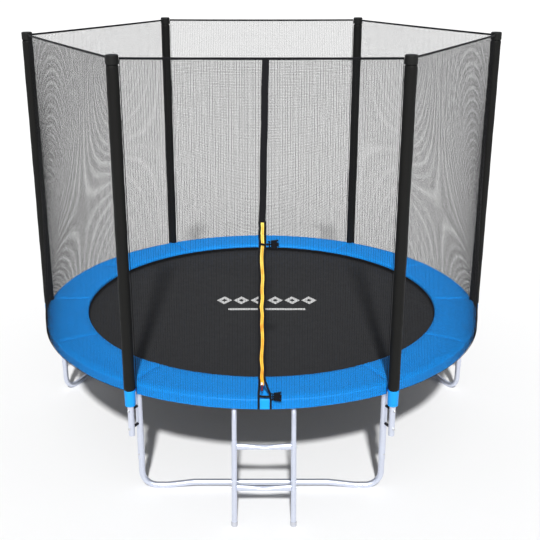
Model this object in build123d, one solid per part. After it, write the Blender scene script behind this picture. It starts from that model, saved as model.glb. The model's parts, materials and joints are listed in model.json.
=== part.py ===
from build123d import *
import math
import os

# Ten-foot garden trampoline with a six-pole safety net and a hook-on ladder.
# Millimetres, +Z up. Origin: centre of the ring, on the ground plane.
# +X to the right when facing the entrance, -Y towards the entrance.
# Pieces that repeat at the stations are modelled on the +X axis and turned into place.

# ----------------------------------------------------------- shared dimensions
STATIONS = [-120.0, -60.0, 0.0, 60.0, 120.0, 180.0]   # legs and poles, degrees
BAY_NAMES = ["front", "front_right", "back_right", "back", "back_left", "front_left"]
BAY_DEG = 60
HALF_BAY = math.radians(BAY_DEG / 2)

RING_R = 1506.0            # ring centre-line radius (3.05 m over the tube)
RING_Z = 718.0             # ring centre-line height
TUBE_R = 19.0              # 38 mm tube: ring, base legs and poles
WALL = 1.5
SNUG = 0.05                # radial play of close-fitting parts
EXT_R = 21.0               # leg extension tube, 42 mm

POLE_RING_R = 1587.0       # pole centre circle
POLE_APOTHEM = POLE_RING_R * math.cos(HALF_BAY)
BOLT_Z = [468.0, 590.0]
BOLT_R = 4.0
BOLT_HOLE_R = BOLT_R + 0.3
LEG_SCREW_Z = 250.0
FOAM_R = 35.0

SPRING_COUNT = 60
PITCH = 360.0 / SPRING_COUNT
SPRING_DEG = [PITCH / 2 + PITCH * k for k in range(SPRING_COUNT)]

os.makedirs("parts", exist_ok=True)


# --------------------------------------------------------------------- helpers
def save(name, shape):
    export_step(shape, "parts/" + name + ".step")


def group(name, shapes):
    """Save the solids of several shapes as one piece."""
    save(name, Compound(children=[solid for shape in shapes for solid in shape.solids()]))


def turn(shape, deg):
    return shape.rotate(Axis.Z, deg)


def group_around(name, *shapes, angles=STATIONS):
    group(name, [turn(shape, a) for a in angles for shape in shapes])


def fuse_around(bay):
    return turn(bay, STATIONS[0]).fuse(*[turn(bay, a) for a in STATIONS[1:]])


def ring_piece(r_out, r_in, deg_from, deg_to):
    """Length of the ring tube, solid where r_in is 0."""
    section = Plane.XZ * Pos(RING_R, RING_Z) * Circle(r_out)
    if r_in > 0:
        section = section - Plane.XZ * Pos(RING_R, RING_Z) * Circle(r_in)
    return turn(revolve(section, axis=Axis.Z, revolution_arc=deg_to - deg_from), deg_from)


def band(points, deg_from, deg_to):
    """Revolve an outline of (radius, z) points about the Z axis."""
    section = Plane.XZ * make_face(Polyline(*points, close=True))
    return turn(revolve(section, axis=Axis.Z, revolution_arc=deg_to - deg_from), deg_from)


def rod(start, end, radius):
    origin = Vector(*start)
    axis = Vector(*end) - origin
    return Plane(origin=origin, z_dir=axis) * Pos(0, 0, axis.length / 2) * Cylinder(
        radius, axis.length)


def radial_rod(x_from, x_to, z, radius):
    return rod((x_from, 0, z), (x_to, 0, z), radius)


def upright(x, z_low, z_high, r_out, r_in=0):
    """Vertical rod on the +X axis, or a tube where r_in is given."""
    post = Pos(x, 0, (z_low + z_high) / 2) * Cylinder(r_out, z_high - z_low)
    if r_in > 0:
        post = post - Pos(x, 0, (z_low + z_high) / 2) * Cylinder(r_in, z_high - z_low + 2)
    return post


def block(x, y, z_low, z_high, size_x, size_y):
    return Pos(x, y, (z_low + z_high) / 2) * Box(size_x, size_y, z_high - z_low)


def fuse_blocks(frame, table):
    """Boxes in a frame, from rows of (centre, size), joined in order."""
    boxes = [frame * Pos(*centre) * Box(*size) for centre, size in table]
    solid = boxes[0]
    for box in boxes[1:]:
        solid = solid + box
    return solid


def arc_band(r_out, r_in, start, end):
    """Flat ring sector between two angles in radians."""
    def point(radius, angle):
        return (radius * math.cos(angle), radius * math.sin(angle))

    mid = (start + end) / 2
    return make_face([
        ThreePointArc(point(r_out, start), point(r_out, mid), point(r_out, end)),
        Line(point(r_out, end), point(r_in, end)),
        ThreePointArc(point(r_in, end), point(r_in, mid), point(r_in, start)),
        Line(point(r_in, start), point(r_out, start))])


def cut_bolt_holes(tube, x):
    for z in BOLT_Z:
        tube = tube - radial_rod(x - 40, x + 40, z, BOLT_HOLE_R)
    return tube


# ----------------------------------------------------------------- ring rails
RAIL_GAP_DEG = 0.10
HOOK_HOLE_R = 3.2
HOOK_HOLE_SPAN = (RING_R - 24, RING_R - 8)     # through the rail's inner wall only

rail = ring_piece(TUBE_R, TUBE_R - WALL, RAIL_GAP_DEG / 2, BAY_DEG - RAIL_GAP_DEG / 2)
for deg in SPRING_DEG[:SPRING_COUNT // len(STATIONS)]:
    cos_a, sin_a = math.cos(math.radians(deg)), math.sin(math.radians(deg))
    start, end = [(radius * cos_a, radius * sin_a, RING_Z) for radius in HOOK_HOLE_SPAN]
    rail = rail - rod(start, end, HOOK_HOLE_R)
for name, a in zip(BAY_NAMES, STATIONS):
    save("top_rail_" + name, turn(rail, a))

# ------------------------------------------------------------------ T-sockets
SOCKET_R = 22.0
SOCKET_HALF_DEG = 2.8
STUB_BOTTOM = 600.0
STUB_BORE_TOP = RING_Z - TUBE_R - 6

socket = ring_piece(SOCKET_R, 0, -SOCKET_HALF_DEG, SOCKET_HALF_DEG)
socket = socket + upright(RING_R, STUB_BOTTOM, RING_Z, TUBE_R)
socket = socket - ring_piece(TUBE_R + SNUG, 0, -SOCKET_HALF_DEG - 1, SOCKET_HALF_DEG + 1)
socket = socket - upright(RING_R, STUB_BOTTOM - 5, STUB_BORE_TOP, TUBE_R - WALL)
group_around("t_sockets", socket)

# -------------------------------------------------------- leg extension tubes
EXT_BORE = TUBE_R + 0.1
EXT_TOP = 690.0
EXT_BOTTOM = 211.0
EXT_SCREW_HOLE_R = 2.8

extension = upright(RING_R, EXT_BOTTOM, EXT_TOP, EXT_R, EXT_BORE)
extension = cut_bolt_holes(extension, RING_R)
extension = extension - radial_rod(RING_R + 10, RING_R + 40, LEG_SCREW_Z, EXT_SCREW_HOLE_R)
group_around("leg_extension_tubes", extension)

# ------------------------------------------------------------------ base legs
# Each base leg is one bent tube: upright, bend, low contact stretch, raised
# middle, and the same again to the next station.
LEG_SPAN = RING_R          # the side of a hexagon equals its radius
LEG_TOP = 300.0            # inside the extension
LEG_LOW_Z = 18.6           # tube axis over the ground contact flats
LEG_HUMP_Z = 40.0          # tube axis in the middle of the run
LEG_LOW_END = 165          # where the low stretch ends
LEG_HUMP_START = 330
LEG_BEND = 98.0
LEG_SCREW_HOLE_R = 2.3

leg_half_path = [(0, LEG_TOP), (0, LEG_LOW_Z), (LEG_LOW_END, LEG_LOW_Z),
                 (LEG_HUMP_START, LEG_HUMP_Z)]           # (x along the run, z)
leg_path = leg_half_path + [(LEG_SPAN - x, z) for x, z in reversed(leg_half_path)]
leg_line = FilletPolyline(*[(x, 0, z) for x, z in leg_path], radius=LEG_BEND)
leg_section = Plane(origin=(0, 0, LEG_TOP), z_dir=(0, 0, -1)) * (
    Circle(TUBE_R) - Circle(TUBE_R - WALL))
leg = sweep(leg_section, path=leg_line, transition=Transition.RIGHT)
leg = leg - block(LEG_SPAN / 2, 0, -10, 0, LEG_SPAN * 2, 100)     # ground flats
for x, side in ((0, -1), (LEG_SPAN, 1)):
    # screw hole on the outward radial side of each upright
    out_x, out_y = side * math.sin(HALF_BAY), -math.cos(HALF_BAY)
    leg = leg - rod((x + out_x * 10, out_y * 10, LEG_SCREW_Z),
                    (x + out_x * 30, out_y * 30, LEG_SCREW_Z), LEG_SCREW_HOLE_R)
front_leg = Pos(-RING_R * math.sin(HALF_BAY), -RING_R * math.cos(HALF_BAY), 0) * leg
save("base_leg_front", front_leg)
save("base_leg_right", turn(front_leg, 120))
save("base_leg_left", turn(front_leg, -120))

# ----------------------------------------------------------- leg joint screws
SCREW_R = 2.2
SCREW_HEAD_R = 5.0
screw_seat = RING_R + EXT_R + 0.15
screw = radial_rod(RING_R + TUBE_R - 6, screw_seat, LEG_SCREW_Z, SCREW_R)
screw = screw + radial_rod(screw_seat, RING_R + EXT_R + 3.4, LEG_SCREW_Z, SCREW_HEAD_R)
group_around("leg_joint_screws", screw)

# ---------------------------------------------------------------------- poles
POLE_BOTTOM = 418.0
POLE_SPLIT = 1480.0
POLE_TOP = 2690.0
SPIGOT = 80.0              # reach of the upper tube's spigot into the lower tube
SPIGOT_R = TUBE_R - WALL - 0.1

lower_tube = upright(POLE_RING_R, POLE_BOTTOM, POLE_SPLIT, TUBE_R, TUBE_R - WALL)
group_around("pole_lower_tubes", cut_bolt_holes(lower_tube, POLE_RING_R))

upper_tube = upright(POLE_RING_R, POLE_SPLIT + 0.2, POLE_TOP, TUBE_R)
upper_tube = upper_tube + upright(POLE_RING_R, POLE_SPLIT - SPIGOT, POLE_SPLIT + 1, SPIGOT_R)
upper_tube = upper_tube - upright(POLE_RING_R, POLE_SPLIT - SPIGOT - 2, POLE_TOP + 2,
                                  SPIGOT_R - WALL)
group_around("pole_upper_tubes", upper_tube)

# ------------------------------------------------ pole sleeves, cuffs and caps
FOAM_BORE = TUBE_R + 0.2
FOAM_BOTTOM = 728.0
FOAM_TOP = 2654.0
CUFF_TOP = FOAM_BOTTOM - 0.5
CUFF_BOTTOM = 624.0
CUFF_R_TOP = 34.0
CUFF_R_BOTTOM = 30.0
CAP_R = FOAM_R + 1
CAP_BOTTOM = FOAM_TOP + 0.5
CAP_TOP = 2705.0
CAP_ROUND = 8.0

group_around("pole_foam_sleeves",
             upright(POLE_RING_R, FOAM_BOTTOM, FOAM_TOP, FOAM_R, FOAM_BORE))

cuff_section = Plane.XZ * make_face(Polyline(
    (FOAM_BORE, CUFF_BOTTOM), (CUFF_R_BOTTOM, CUFF_BOTTOM),
    (CUFF_R_BOTTOM + 2.5, CUFF_BOTTOM + 14), (CUFF_R_TOP, CUFF_TOP - 6),
    (CUFF_R_TOP - 3, CUFF_TOP), (FOAM_BORE, CUFF_TOP), close=True))
group_around("pole_cuffs", Pos(POLE_RING_R, 0, 0) * revolve(cuff_section, axis=Axis.Z))

cap = upright(POLE_RING_R, CAP_BOTTOM, CAP_TOP, CAP_R)
cap = fillet(cap.edges().group_by(Axis.Z)[-1], CAP_ROUND)
cap = cap - upright(POLE_RING_R, CAP_BOTTOM - 2, POLE_TOP + 0.3, FOAM_BORE)
group_around("pole_caps", cap)

# ------------------------------------------- pole clamps: spacers, bolts, nuts
SPACER_R = 9.0
WASHER_R = 8.5
WASHER_T = 1.6
WASHER_GAP = 0.2           # on both faces of a washer
HEX_R = 7.5                # across-corners radius of heads and nuts
HEAD_T = 5.3
NUT_T = 6.5
BOLT_TAIL = 9.5            # bolt end, inward of the extension tube

inner_face = RING_R - EXT_R
outer_face = POLE_RING_R + TUBE_R
seat = WASHER_T + 2 * WASHER_GAP
spacers, bolts, washers, nuts = [], [], [], []
for z in BOLT_Z:
    spacer = radial_rod(RING_R + 10, POLE_RING_R - 10, z, SPACER_R)
    spacer = spacer - upright(RING_R, z - 40, z + 40, EXT_R + SNUG)
    spacer = spacer - upright(POLE_RING_R, z - 40, z + 40, TUBE_R + SNUG)
    spacers.append(spacer - radial_rod(RING_R, POLE_RING_R, z, BOLT_HOLE_R))
    for x in (inner_face - WASHER_GAP - WASHER_T, outer_face + WASHER_GAP):
        washers.append(radial_rod(x, x + WASHER_T, z, WASHER_R)
                       - radial_rod(x - 5, x + 5, z, BOLT_HOLE_R))
    shank = radial_rod(inner_face - BOLT_TAIL, outer_face + seat, z, BOLT_R)
    head = Plane(origin=(outer_face + seat, 0, z), z_dir=(1, 0, 0)) * extrude(
        RegularPolygon(HEX_R, 6), HEAD_T)
    bolts.append(shank + head)
    nut = Plane(origin=(inner_face - seat, 0, z), z_dir=(-1, 0, 0)) * extrude(
        RegularPolygon(HEX_R, 6), NUT_T)
    nuts.append(nut - radial_rod(inner_face - 20, inner_face + 5, z, BOLT_R + SNUG))
group_around("pole_spacers", *spacers)
group_around("pole_bolts", *bolts)
group_around("pole_washers", *washers)
group_around("pole_nuts", *nuts)

# ------------------------------------------------------------------------ mat
MAT_R = 1300.0
MAT_T = 3.0
HEM_IN = 1262.0
HEM_LOW = RING_Z + 1.7
HEM_HIGH = RING_Z + 4.2

save("jumping_mat", Pos(0, 0, RING_Z) * Cylinder(MAT_R, MAT_T))
save("mat_hem_webbing", band([(HEM_IN, HEM_LOW), (MAT_R, HEM_LOW),
                              (MAT_R, HEM_HIGH), (HEM_IN, HEM_HIGH)], 0, 360))

# -------------------------------------------------------- V-rings and springs
VRING_BASE = 1303.5
VRING_TIP = 1340.0
VRING_T = 4.5
# base and tip half widths, outside and in the opening
VRING_OUTER = (17.0, 3)
VRING_OPENING = (10.5, 1.5)
VRING_RIM = 5              # base and tip rims of the opening
SPRING_R = 11.0
SPRING_IN = 1352.0
SPRING_OUT = 1468.0
WIRE_R = 2.0


def trapezium(x_base, x_tip, half_widths):
    base, tip = half_widths
    return make_face(Polyline((x_base, -base), (x_tip, -tip), (x_tip, tip), (x_base, base),
                              close=True))


vring_face = trapezium(VRING_BASE, VRING_TIP, VRING_OUTER) - trapezium(
    VRING_BASE + VRING_RIM, VRING_TIP - VRING_RIM, VRING_OPENING)
vring = Pos(0, 0, RING_Z - VRING_T / 2) * extrude(vring_face, VRING_T)
group_around("v_rings", vring, angles=SPRING_DEG)

spring = radial_rod(SPRING_IN, SPRING_OUT, RING_Z, SPRING_R)
spring = spring + radial_rod(VRING_TIP + 0.9, SPRING_IN + 1, RING_Z, WIRE_R)
spring = spring + radial_rod(SPRING_OUT - 1, RING_R - 13, RING_Z, WIRE_R)
group_around("springs", spring, angles=SPRING_DEG)

# ----------------------------------------------------------------- safety pad
PAD_IN = 1270.0
PAD_OUT = 1568.0
PAD_TOP = 765.0
PAD_LOW = 744.5
SKIRT_BOTTOM = 700.0
VINYL = 1.5
UNDERSIDE_T = 1.2
NOTCH_R = FOAM_R + 4       # scallop in the pad's edge around each pole
NOTCH_LOW, NOTCH_HIGH = 685, 775
FLAP_HALF_DEG = 9.5        # loose piece of skirt in the middle of the front
FLAP_GAP_DEG = 0.12
FLAP_TOP = 750.0
FLAP_CUT = FLAP_TOP + 2
FRONT_DEG = -90

notch = upright(POLE_RING_R, NOTCH_LOW, NOTCH_HIGH, NOTCH_R)
cover = band([
    (PAD_OUT, SKIRT_BOTTOM), (PAD_OUT, PAD_TOP - 9),
    (PAD_OUT - 3, PAD_TOP - 3), (PAD_OUT - 9, PAD_TOP),
    (PAD_IN + 7, PAD_TOP), (PAD_IN + 2, PAD_TOP - 2),
    (PAD_IN, PAD_TOP - 7), (PAD_IN, PAD_LOW + 0.4),
    (PAD_IN + VINYL, PAD_LOW + 0.4), (PAD_IN + VINYL, PAD_TOP - 7.5),
    (PAD_IN + 3, PAD_TOP - 3), (PAD_IN + 7.5, PAD_TOP - VINYL),
    (PAD_OUT - 9.5, PAD_TOP - VINYL), (PAD_OUT - 4, PAD_TOP - 4),
    (PAD_OUT - VINYL, PAD_TOP - 9.5), (PAD_OUT - VINYL, SKIRT_BOTTOM)], -30, 30) - notch
flap_zone = band([(PAD_OUT - 6, SKIRT_BOTTOM - 5), (PAD_OUT + 8, SKIRT_BOTTOM - 5),
                  (PAD_OUT + 8, FLAP_CUT), (PAD_OUT - 6, FLAP_CUT)],
                 FRONT_DEG - FLAP_HALF_DEG - FLAP_GAP_DEG,
                 FRONT_DEG + FLAP_HALF_DEG + FLAP_GAP_DEG)
save("pad_cover", fuse_around(cover) - flap_zone)

save("skirt_flap", band([(PAD_OUT - VINYL, SKIRT_BOTTOM), (PAD_OUT, SKIRT_BOTTOM),
                         (PAD_OUT, FLAP_TOP), (PAD_OUT - VINYL, FLAP_TOP)],
                        FRONT_DEG - FLAP_HALF_DEG, FRONT_DEG + FLAP_HALF_DEG))

underside = band([(PAD_IN + 2, PAD_LOW), (PAD_OUT - 2, PAD_LOW),
                  (PAD_OUT - 2, PAD_LOW + UNDERSIDE_T),
                  (PAD_IN + 2, PAD_LOW + UNDERSIDE_T)], -30, 30) - notch
save("pad_underside", fuse_around(underside))

core_low = PAD_LOW + UNDERSIDE_T + 0.5
core_notch = upright(POLE_RING_R, NOTCH_LOW, NOTCH_HIGH, NOTCH_R + 2)
core = band([(PAD_IN + 4, core_low), (PAD_OUT - 7, core_low), (PAD_OUT - 7, PAD_TOP - 5),
             (PAD_OUT - 11, PAD_TOP - 2), (PAD_IN + 9, PAD_TOP - 2),
             (PAD_IN + 4, PAD_TOP - 6)], 0.1, BAY_DEG - 0.1)
core = core - core_notch
core = core - turn(core_notch, BAY_DEG)
group_around("pad_foam_cores", core)

# ties: U-shaped straps under the ring tube, two to a bay
TIE_LOW = 695
TIE_HIGH = 744.2
TIE_SPAN = 46
TIE_W = 15
TIE_T = 1.5

tie = block(RING_R, 0, TIE_LOW, TIE_HIGH, TIE_SPAN, TIE_W)
tie = tie - block(RING_R, 0, TIE_LOW + TIE_T, 760, TIE_SPAN - 2 * TIE_T, TIE_W + 5)
group_around("pad_ties", tie, angles=[12 + 30 * k for k in range(12)])

# ------------------------------------------------------------------------ net
NET_T = 2.0
NET_TOP = 2677.0
NET_BOTTOM = 702.0
NET_FOOT_R = 1571.5
NET_BEND = 768.0           # below this the net hangs upright outside the skirt
NET_END = 38.5             # gap from pole axis to net edge, at the top
NET_END_DEG = 1.45         # the same gap at the foot
NET_HALF = POLE_RING_R / 2 - NET_END
WEB_LOW = NET_TOP + 0.5
WEB_HIGH = 2691.0
WEB_T = 5


def net_panel():
    """Front bay: straight along its top, curved at its foot."""
    y_out, y_in = -POLE_APOTHEM - NET_T / 2, -POLE_APOTHEM + NET_T / 2
    top = Plane.XY.offset(NET_TOP) * make_face(Polyline(
        (-NET_HALF, y_out), (NET_HALF, y_out), (NET_HALF, y_in), (-NET_HALF, y_in),
        close=True))
    foot = arc_band(NET_FOOT_R + NET_T / 2, NET_FOOT_R - NET_T / 2,
                    math.radians(STATIONS[0] + NET_END_DEG),
                    math.radians(STATIONS[1] - NET_END_DEG))
    sheet = loft([Plane.XY.offset(NET_BEND) * foot, top], ruled=True)
    return sheet + extrude(Plane.XY.offset(NET_BOTTOM) * foot, NET_BEND - NET_BOTTOM)


panel = net_panel()
for k in range(1, 6):
    save("net_" + BAY_NAMES[k], turn(panel, BAY_DEG * k))

webbing = block(0, -POLE_APOTHEM, WEB_LOW, WEB_HIGH, 2 * NET_HALF, WEB_T)
group_around("net_top_webbing", webbing, angles=[BAY_DEG * k for k in range(6)])

# ------------------------------------------------------------- entrance panels
LEFT, RIGHT = -1, 1
ZIP_TOP = 1806.0
ZIP_BOTTOM = 853.0
CENTRE_LOW_X = 2.0         # centre band's x at ZIP_BOTTOM, ZIP_TOP and NET_TOP
CENTRE_MID_X = 4.0
CENTRE_TOP_X = 21.0
BAND = 19.0                # half width of the centre band
EDGE = 8.0                 # width of the edge binding
SLIT_X = {LEFT: -13.0, RIGHT: 49.0}     # sides of the opening below the zip
SLIT_TOP = 800
KNEE_Z = {LEFT: 880, RIGHT: 890}        # where the panel edges meet the band
SEAM = 0.5                 # gap between panel and binding
TAIL_CUT = 754.0
TAIL_HALF = PAD_OUT * math.sin(math.radians(FLAP_HALF_DEG))


def centre_x(z):
    """Centre line of the entrance band."""
    if z >= ZIP_TOP:
        rise = (z - ZIP_TOP) / (NET_TOP - ZIP_TOP)
        return CENTRE_MID_X + (CENTRE_TOP_X - CENTRE_MID_X) * rise
    rise = (z - ZIP_BOTTOM) / (ZIP_TOP - ZIP_BOTTOM)
    return CENTRE_LOW_X + (CENTRE_MID_X - CENTRE_LOW_X) * rise


def door_panel(side):
    """The front net on one side of the centre band and slit."""
    def band_x(z):
        return centre_x(z) + side * (BAND + SEAM)

    slit_x = SLIT_X[side] + side * (EDGE + SEAM)
    outline = [(side * 900, NET_BOTTOM - 5), (slit_x, NET_BOTTOM - 5), (slit_x, SLIT_TOP),
               (band_x(ZIP_BOTTOM), KNEE_Z[side]), (band_x(ZIP_TOP), ZIP_TOP),
               (band_x(NET_TOP), NET_TOP + 5), (side * 900, NET_TOP + 5)]
    face = Plane.XZ.offset(1200) * make_face(Polyline(*outline, close=True))
    return panel & extrude(face, 500)


def tail_zone(half_width, top):
    return block(0, -1500, NET_BOTTOM - 20, top, 2 * half_width, 400)


door_left, door_right = door_panel(LEFT), door_panel(RIGHT)
above_tail = tail_zone(TAIL_HALF, TAIL_CUT)
tail = tail_zone(TAIL_HALF - 1.5, FLAP_TOP)
save("net_door_left", door_left - above_tail)
save("net_door_right", door_right - above_tail)
group("net_tail_front", [door_left & tail, door_right & tail])

# ------------------------------------------------- entrance bindings and zip
NET_SLOPE = (NET_FOOT_R - POLE_APOTHEM) / (NET_TOP - NET_BEND)   # lean of the centre line
SLANT = math.hypot(1, NET_SLOPE)                  # length along the net per unit of z
BINDING = (-1.0, 1.0)                             # distances outward of the net's mid-plane
TAPE = (-0.8, 0.8)
COIL = (0.9, 3.0)
TAPE_HALF = BAND - EDGE - 0.6
COIL_HALF = 2.5


def net_frame(x, z):
    """Frame on the leaning net: x to the right, y up the net, z outward."""
    return Plane(origin=(x, -(POLE_APOTHEM + NET_SLOPE * (NET_TOP - z)), z), x_dir=(1, 0, 0),
                 z_dir=(0, -1 / SLANT, NET_SLOPE / SLANT))


def extrude_layer(frame, points, layer):
    low, high = layer
    return extrude(frame.offset(low) * make_face(Polyline(*points, close=True)), high - low)


def leaning_strip(points, layer):
    z_origin = 1500.0
    return extrude_layer(net_frame(0, z_origin),
                         [(x, (z - z_origin) * SLANT) for x, z in points], layer)


def hanging_strip(points, layer):
    """Strip on the upright net below the bend."""
    frame = Plane(origin=(0, -NET_FOOT_R, 0), x_dir=(1, 0, 0), z_dir=(0, -1, 0))
    return extrude_layer(frame, points, layer)


def centre_strip(z_low, z_high, half, layer, trim_low=0, trim_high=0):
    """Strip along the centre line, its ends trimmed in height only."""
    x_low, x_high = centre_x(z_low), centre_x(z_high)
    z_low, z_high = z_low + trim_low, z_high - trim_high
    return leaning_strip([(x_low - half, z_low), (x_low + half, z_low),
                          (x_high + half, z_high), (x_high - half, z_high)], layer)


def opening_x(side, z):
    """Inner edge of the binding on one side of the entrance."""
    return SLIT_X[side] if z <= SLIT_TOP else centre_x(z) + side * (BAND - EDGE)


def binding_points(side, *heights):
    inner = [(opening_x(side, z), z) for z in heights]
    return [(x + side * EDGE, z) for x, z in inner] + inner[::-1]


group("door_bindings", [
    leaning_strip(binding_points(side, NET_BEND, SLIT_TOP, 885.0, ZIP_TOP - 1), BINDING)
    + hanging_strip(binding_points(side, TAIL_CUT, NET_BEND + 0.1), BINDING)
    for side in (LEFT, RIGHT)])
group("door_binding_tails", [
    hanging_strip(binding_points(side, NET_BOTTOM + 1, FLAP_TOP), BINDING)
    for side in (LEFT, RIGHT)])
save("net_centre_band", centre_strip(ZIP_TOP, NET_TOP, BAND, BINDING))
save("zip_tape", centre_strip(ZIP_BOTTOM, ZIP_TOP, TAPE_HALF, TAPE, trim_high=2))
save("zip_coil", centre_strip(ZIP_BOTTOM, ZIP_TOP, COIL_HALF, COIL, trim_low=4, trim_high=8))

# ------------------------------------------------------------ slider and pull
SLIDER_Z = 866.0
PIN_Y = -4                 # cross pin that carries the pull
PIN_LIFT = 10.7
PIN_R = 0.8
PIN_LEN = 6.8
# (centre), (size) in the slider's frame
SLIDER_BLOCKS = [
    ((0, 0, 6.1), (13, 17, 5.4)),                                  # top plate
    ((-5.2, 0, 4), (2.2, 17, 5.4)), ((5.2, 0, 4), (2.2, 17, 5.4)),     # side walls
    ((-3.4, PIN_Y, 10.5), (2, 5, 4)), ((3.4, PIN_Y, 10.5), (2, 5, 4))]   # pin lugs
PULL_BLOCKS = [
    ((0, -24.3, PIN_LIFT), (9, 33.4, 1.6)),                        # tab
    ((0, -5.5, PIN_LIFT), (4.2, 5.5, 2.6))]                        # eye


def pin(radius, length):
    return slider_frame * Plane.YZ * Pos(PIN_Y, PIN_LIFT, -length / 2) * extrude(
        Circle(radius), length)


slider_frame = net_frame(centre_x(SLIDER_Z), SLIDER_Z)
save("zip_slider", fuse_blocks(slider_frame, SLIDER_BLOCKS) + pin(PIN_R, PIN_LEN))
save("zip_pull", fuse_blocks(slider_frame, PULL_BLOCKS) - pin(PIN_R + 0.1, 10))

# ----------------------------------------------- side-release safety buckles
BUCKLES = [("lower", 92.0, 790.0), ("upper", 72.0, 1683.0)]    # name, x, z
LIFT = 12.0                # buckle's mid-plane outward of the net
BUCKLE_T = 14
BUCKLE_OUTLINE = [(-21, -22), (21, -28), (21, 28), (-21, 22)]
SLOT_X = 16                # webbing slot in the socket half
STRAP_W = 24
STRAP_T = 1.8
STRAP_END_X = -39          # strap's end at the plug half
ANCHOR_LOW = 1.2
ANCHOR_LEN = 28
PLUG_BLOCKS = [            # (centre), (size)
    ((-31, 0, LIFT), (14, 40, 6)),                                 # body
    ((-13, 14.5, LIFT), (26, 4, 4.5)), ((-13, -14.5, LIFT), (26, 4, 4.5)),   # prongs
    ((-14, 0, LIFT), (24, 6, 4))]                                  # guide tongue


def buckle_socket(frame):
    """Socket half, on the right-hand door panel."""
    outline = make_face(Polyline(*BUCKLE_OUTLINE, close=True))
    solid = frame * Pos(0, 0, LIFT - BUCKLE_T / 2) * extrude(outline, BUCKLE_T)
    solid = solid - frame * Pos(-6, 0, LIFT) * Box(34, 36, 7)            # mouth
    return solid - frame * Pos(SLOT_X, 0, LIFT) * Box(4, 40, 20)


def buckle_strap(frame, start_x):
    """Webbing of the plug half, from the left edge across the opening."""
    strap = frame * Pos((start_x + STRAP_END_X) / 2, 0, LIFT) * Box(
        STRAP_END_X - start_x, STRAP_W, STRAP_T)
    return strap + frame * block(start_x + EDGE / 2, 0, 1.8, LIFT + 0.2, EDGE, STRAP_W)


def anchor_strap(frame):
    """Short webbing through the socket's slot, sewn to the panel behind it."""
    strap = frame * block(SLOT_X, 0, ANCHOR_LOW, LIFT + 2, STRAP_T, STRAP_W)
    return strap + frame * block(SLOT_X + STRAP_T / 2 - ANCHOR_LEN / 2, 0,
                                 ANCHOR_LOW, ANCHOR_LOW + STRAP_T, ANCHOR_LEN, STRAP_W)


buckle_frames = [net_frame(x, z) for _, x, z in BUCKLES]
for (name, x, z), frame in zip(BUCKLES, buckle_frames):
    plug = fuse_blocks(frame, PLUG_BLOCKS) - frame * Pos(-33, 0, LIFT) * Box(4, 28, 20)
    save("buckle_plug_" + name, plug)
    save("buckle_strap_" + name, buckle_strap(frame, opening_x(LEFT, z) - EDGE - x))
group("buckle_sockets", [buckle_socket(frame) for frame in buckle_frames])
group("buckle_anchor_straps", [anchor_strap(frame) for frame in buckle_frames])

# --------------------------------------------------------------------- ladder
LADDER_X = 14.0
STILE_X = 175.0            # stile axes either side of LADDER_X
STILE_UP_R = 14.0
STILE_LOW_R = 16.0
STILE_FIT = 0.1
HOOK_IN_R = 22.6           # loose over the tube, which curves away under each hook
HOOK_AXIS_R = 1495.6       # where the two hooks cross the ring tube
HOOK_T = 3.5
HOOK_W = 24.0
HOOK_END = math.radians(215)
BAR_LEN = 90
BAR_LET_IN = 0.8
LADDER_FOOT_R = 1700.0
RUNG_Z = [226.0, 470.0]
RUNG_SCREW_R = 3.0

# The stile axis passes the ring at this distance and reaches the ground at the foot.
stile_offset = HOOK_IN_R + HOOK_T + STILE_UP_R
foot_run = LADDER_FOOT_R - HOOK_AXIS_R
lean = math.atan2(foot_run, RING_Z) - math.asin(stile_offset / math.hypot(foot_run, RING_Z))
sin_lean, cos_lean = math.sin(lean), math.cos(lean)
near_r = HOOK_AXIS_R + stile_offset * cos_lean      # nearest point of the axis to the ring
near_z = RING_Z + stile_offset * sin_lean
S_TOP = 42.0               # distances down the stile from that point
S_JOIN = 228.0
S_FOOT = near_z / cos_lean
S_BOOT = S_FOOT - 24


def on_stile(s, x):
    return (x, -(near_r + s * sin_lean), near_z - s * cos_lean)


def stile_rod(x, s_from, s_to, radius):
    return rod(on_stile(s_from, x), on_stile(s_to, x), radius)


def stile_s(z):
    return (near_z - z) / cos_lean


def floor_slab(z_low, z_high):
    return block(0, -LADDER_FOOT_R, z_low, z_high, 3000, 900)


def lower_stile(x):
    tube = stile_rod(x, S_JOIN, S_FOOT + 10, STILE_LOW_R)
    tube = tube - stile_rod(x, S_JOIN - 5, S_FOOT + 20, STILE_UP_R + STILE_FIT)
    tube = tube - floor_slab(-77, 3)
    for rung_z in RUNG_Z:
        _, y, z = on_stile(stile_s(rung_z), x)
        tube = tube - rod((x - 40, y, z), (x + 40, y, z), RUNG_SCREW_R + 0.3)
    return tube


def upper_stile(x):
    """Upper tube with its hook and the flat bar let into its inner face."""
    tube = stile_rod(x, S_TOP, S_JOIN + 26, STILE_UP_R)
    tube = tube - stile_rod(x, S_TOP - 5, S_JOIN + 40, STILE_UP_R - WALL)
    hook_frame = Plane(origin=(x + HOOK_W / 2, -HOOK_AXIS_R, RING_Z),
                       x_dir=(0, -1, 0), z_dir=(-1, 0, 0))
    hook = hook_frame * extrude(
        arc_band(HOOK_IN_R + HOOK_T, HOOK_IN_R, lean, HOOK_END), HOOK_W)
    bar_r = HOOK_IN_R + HOOK_T / 2
    bar_frame = Plane(
        origin=(x, -(HOOK_AXIS_R + bar_r * cos_lean), RING_Z + bar_r * sin_lean),
        x_dir=(1, 0, 0), z_dir=(0, -cos_lean, sin_lean))
    bar = bar_frame * Pos(0, -BAR_LEN / 2, BAR_LET_IN / 2) * Box(
        HOOK_W, BAR_LEN, HOOK_T + BAR_LET_IN)
    return tube + (hook + bar)


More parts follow.
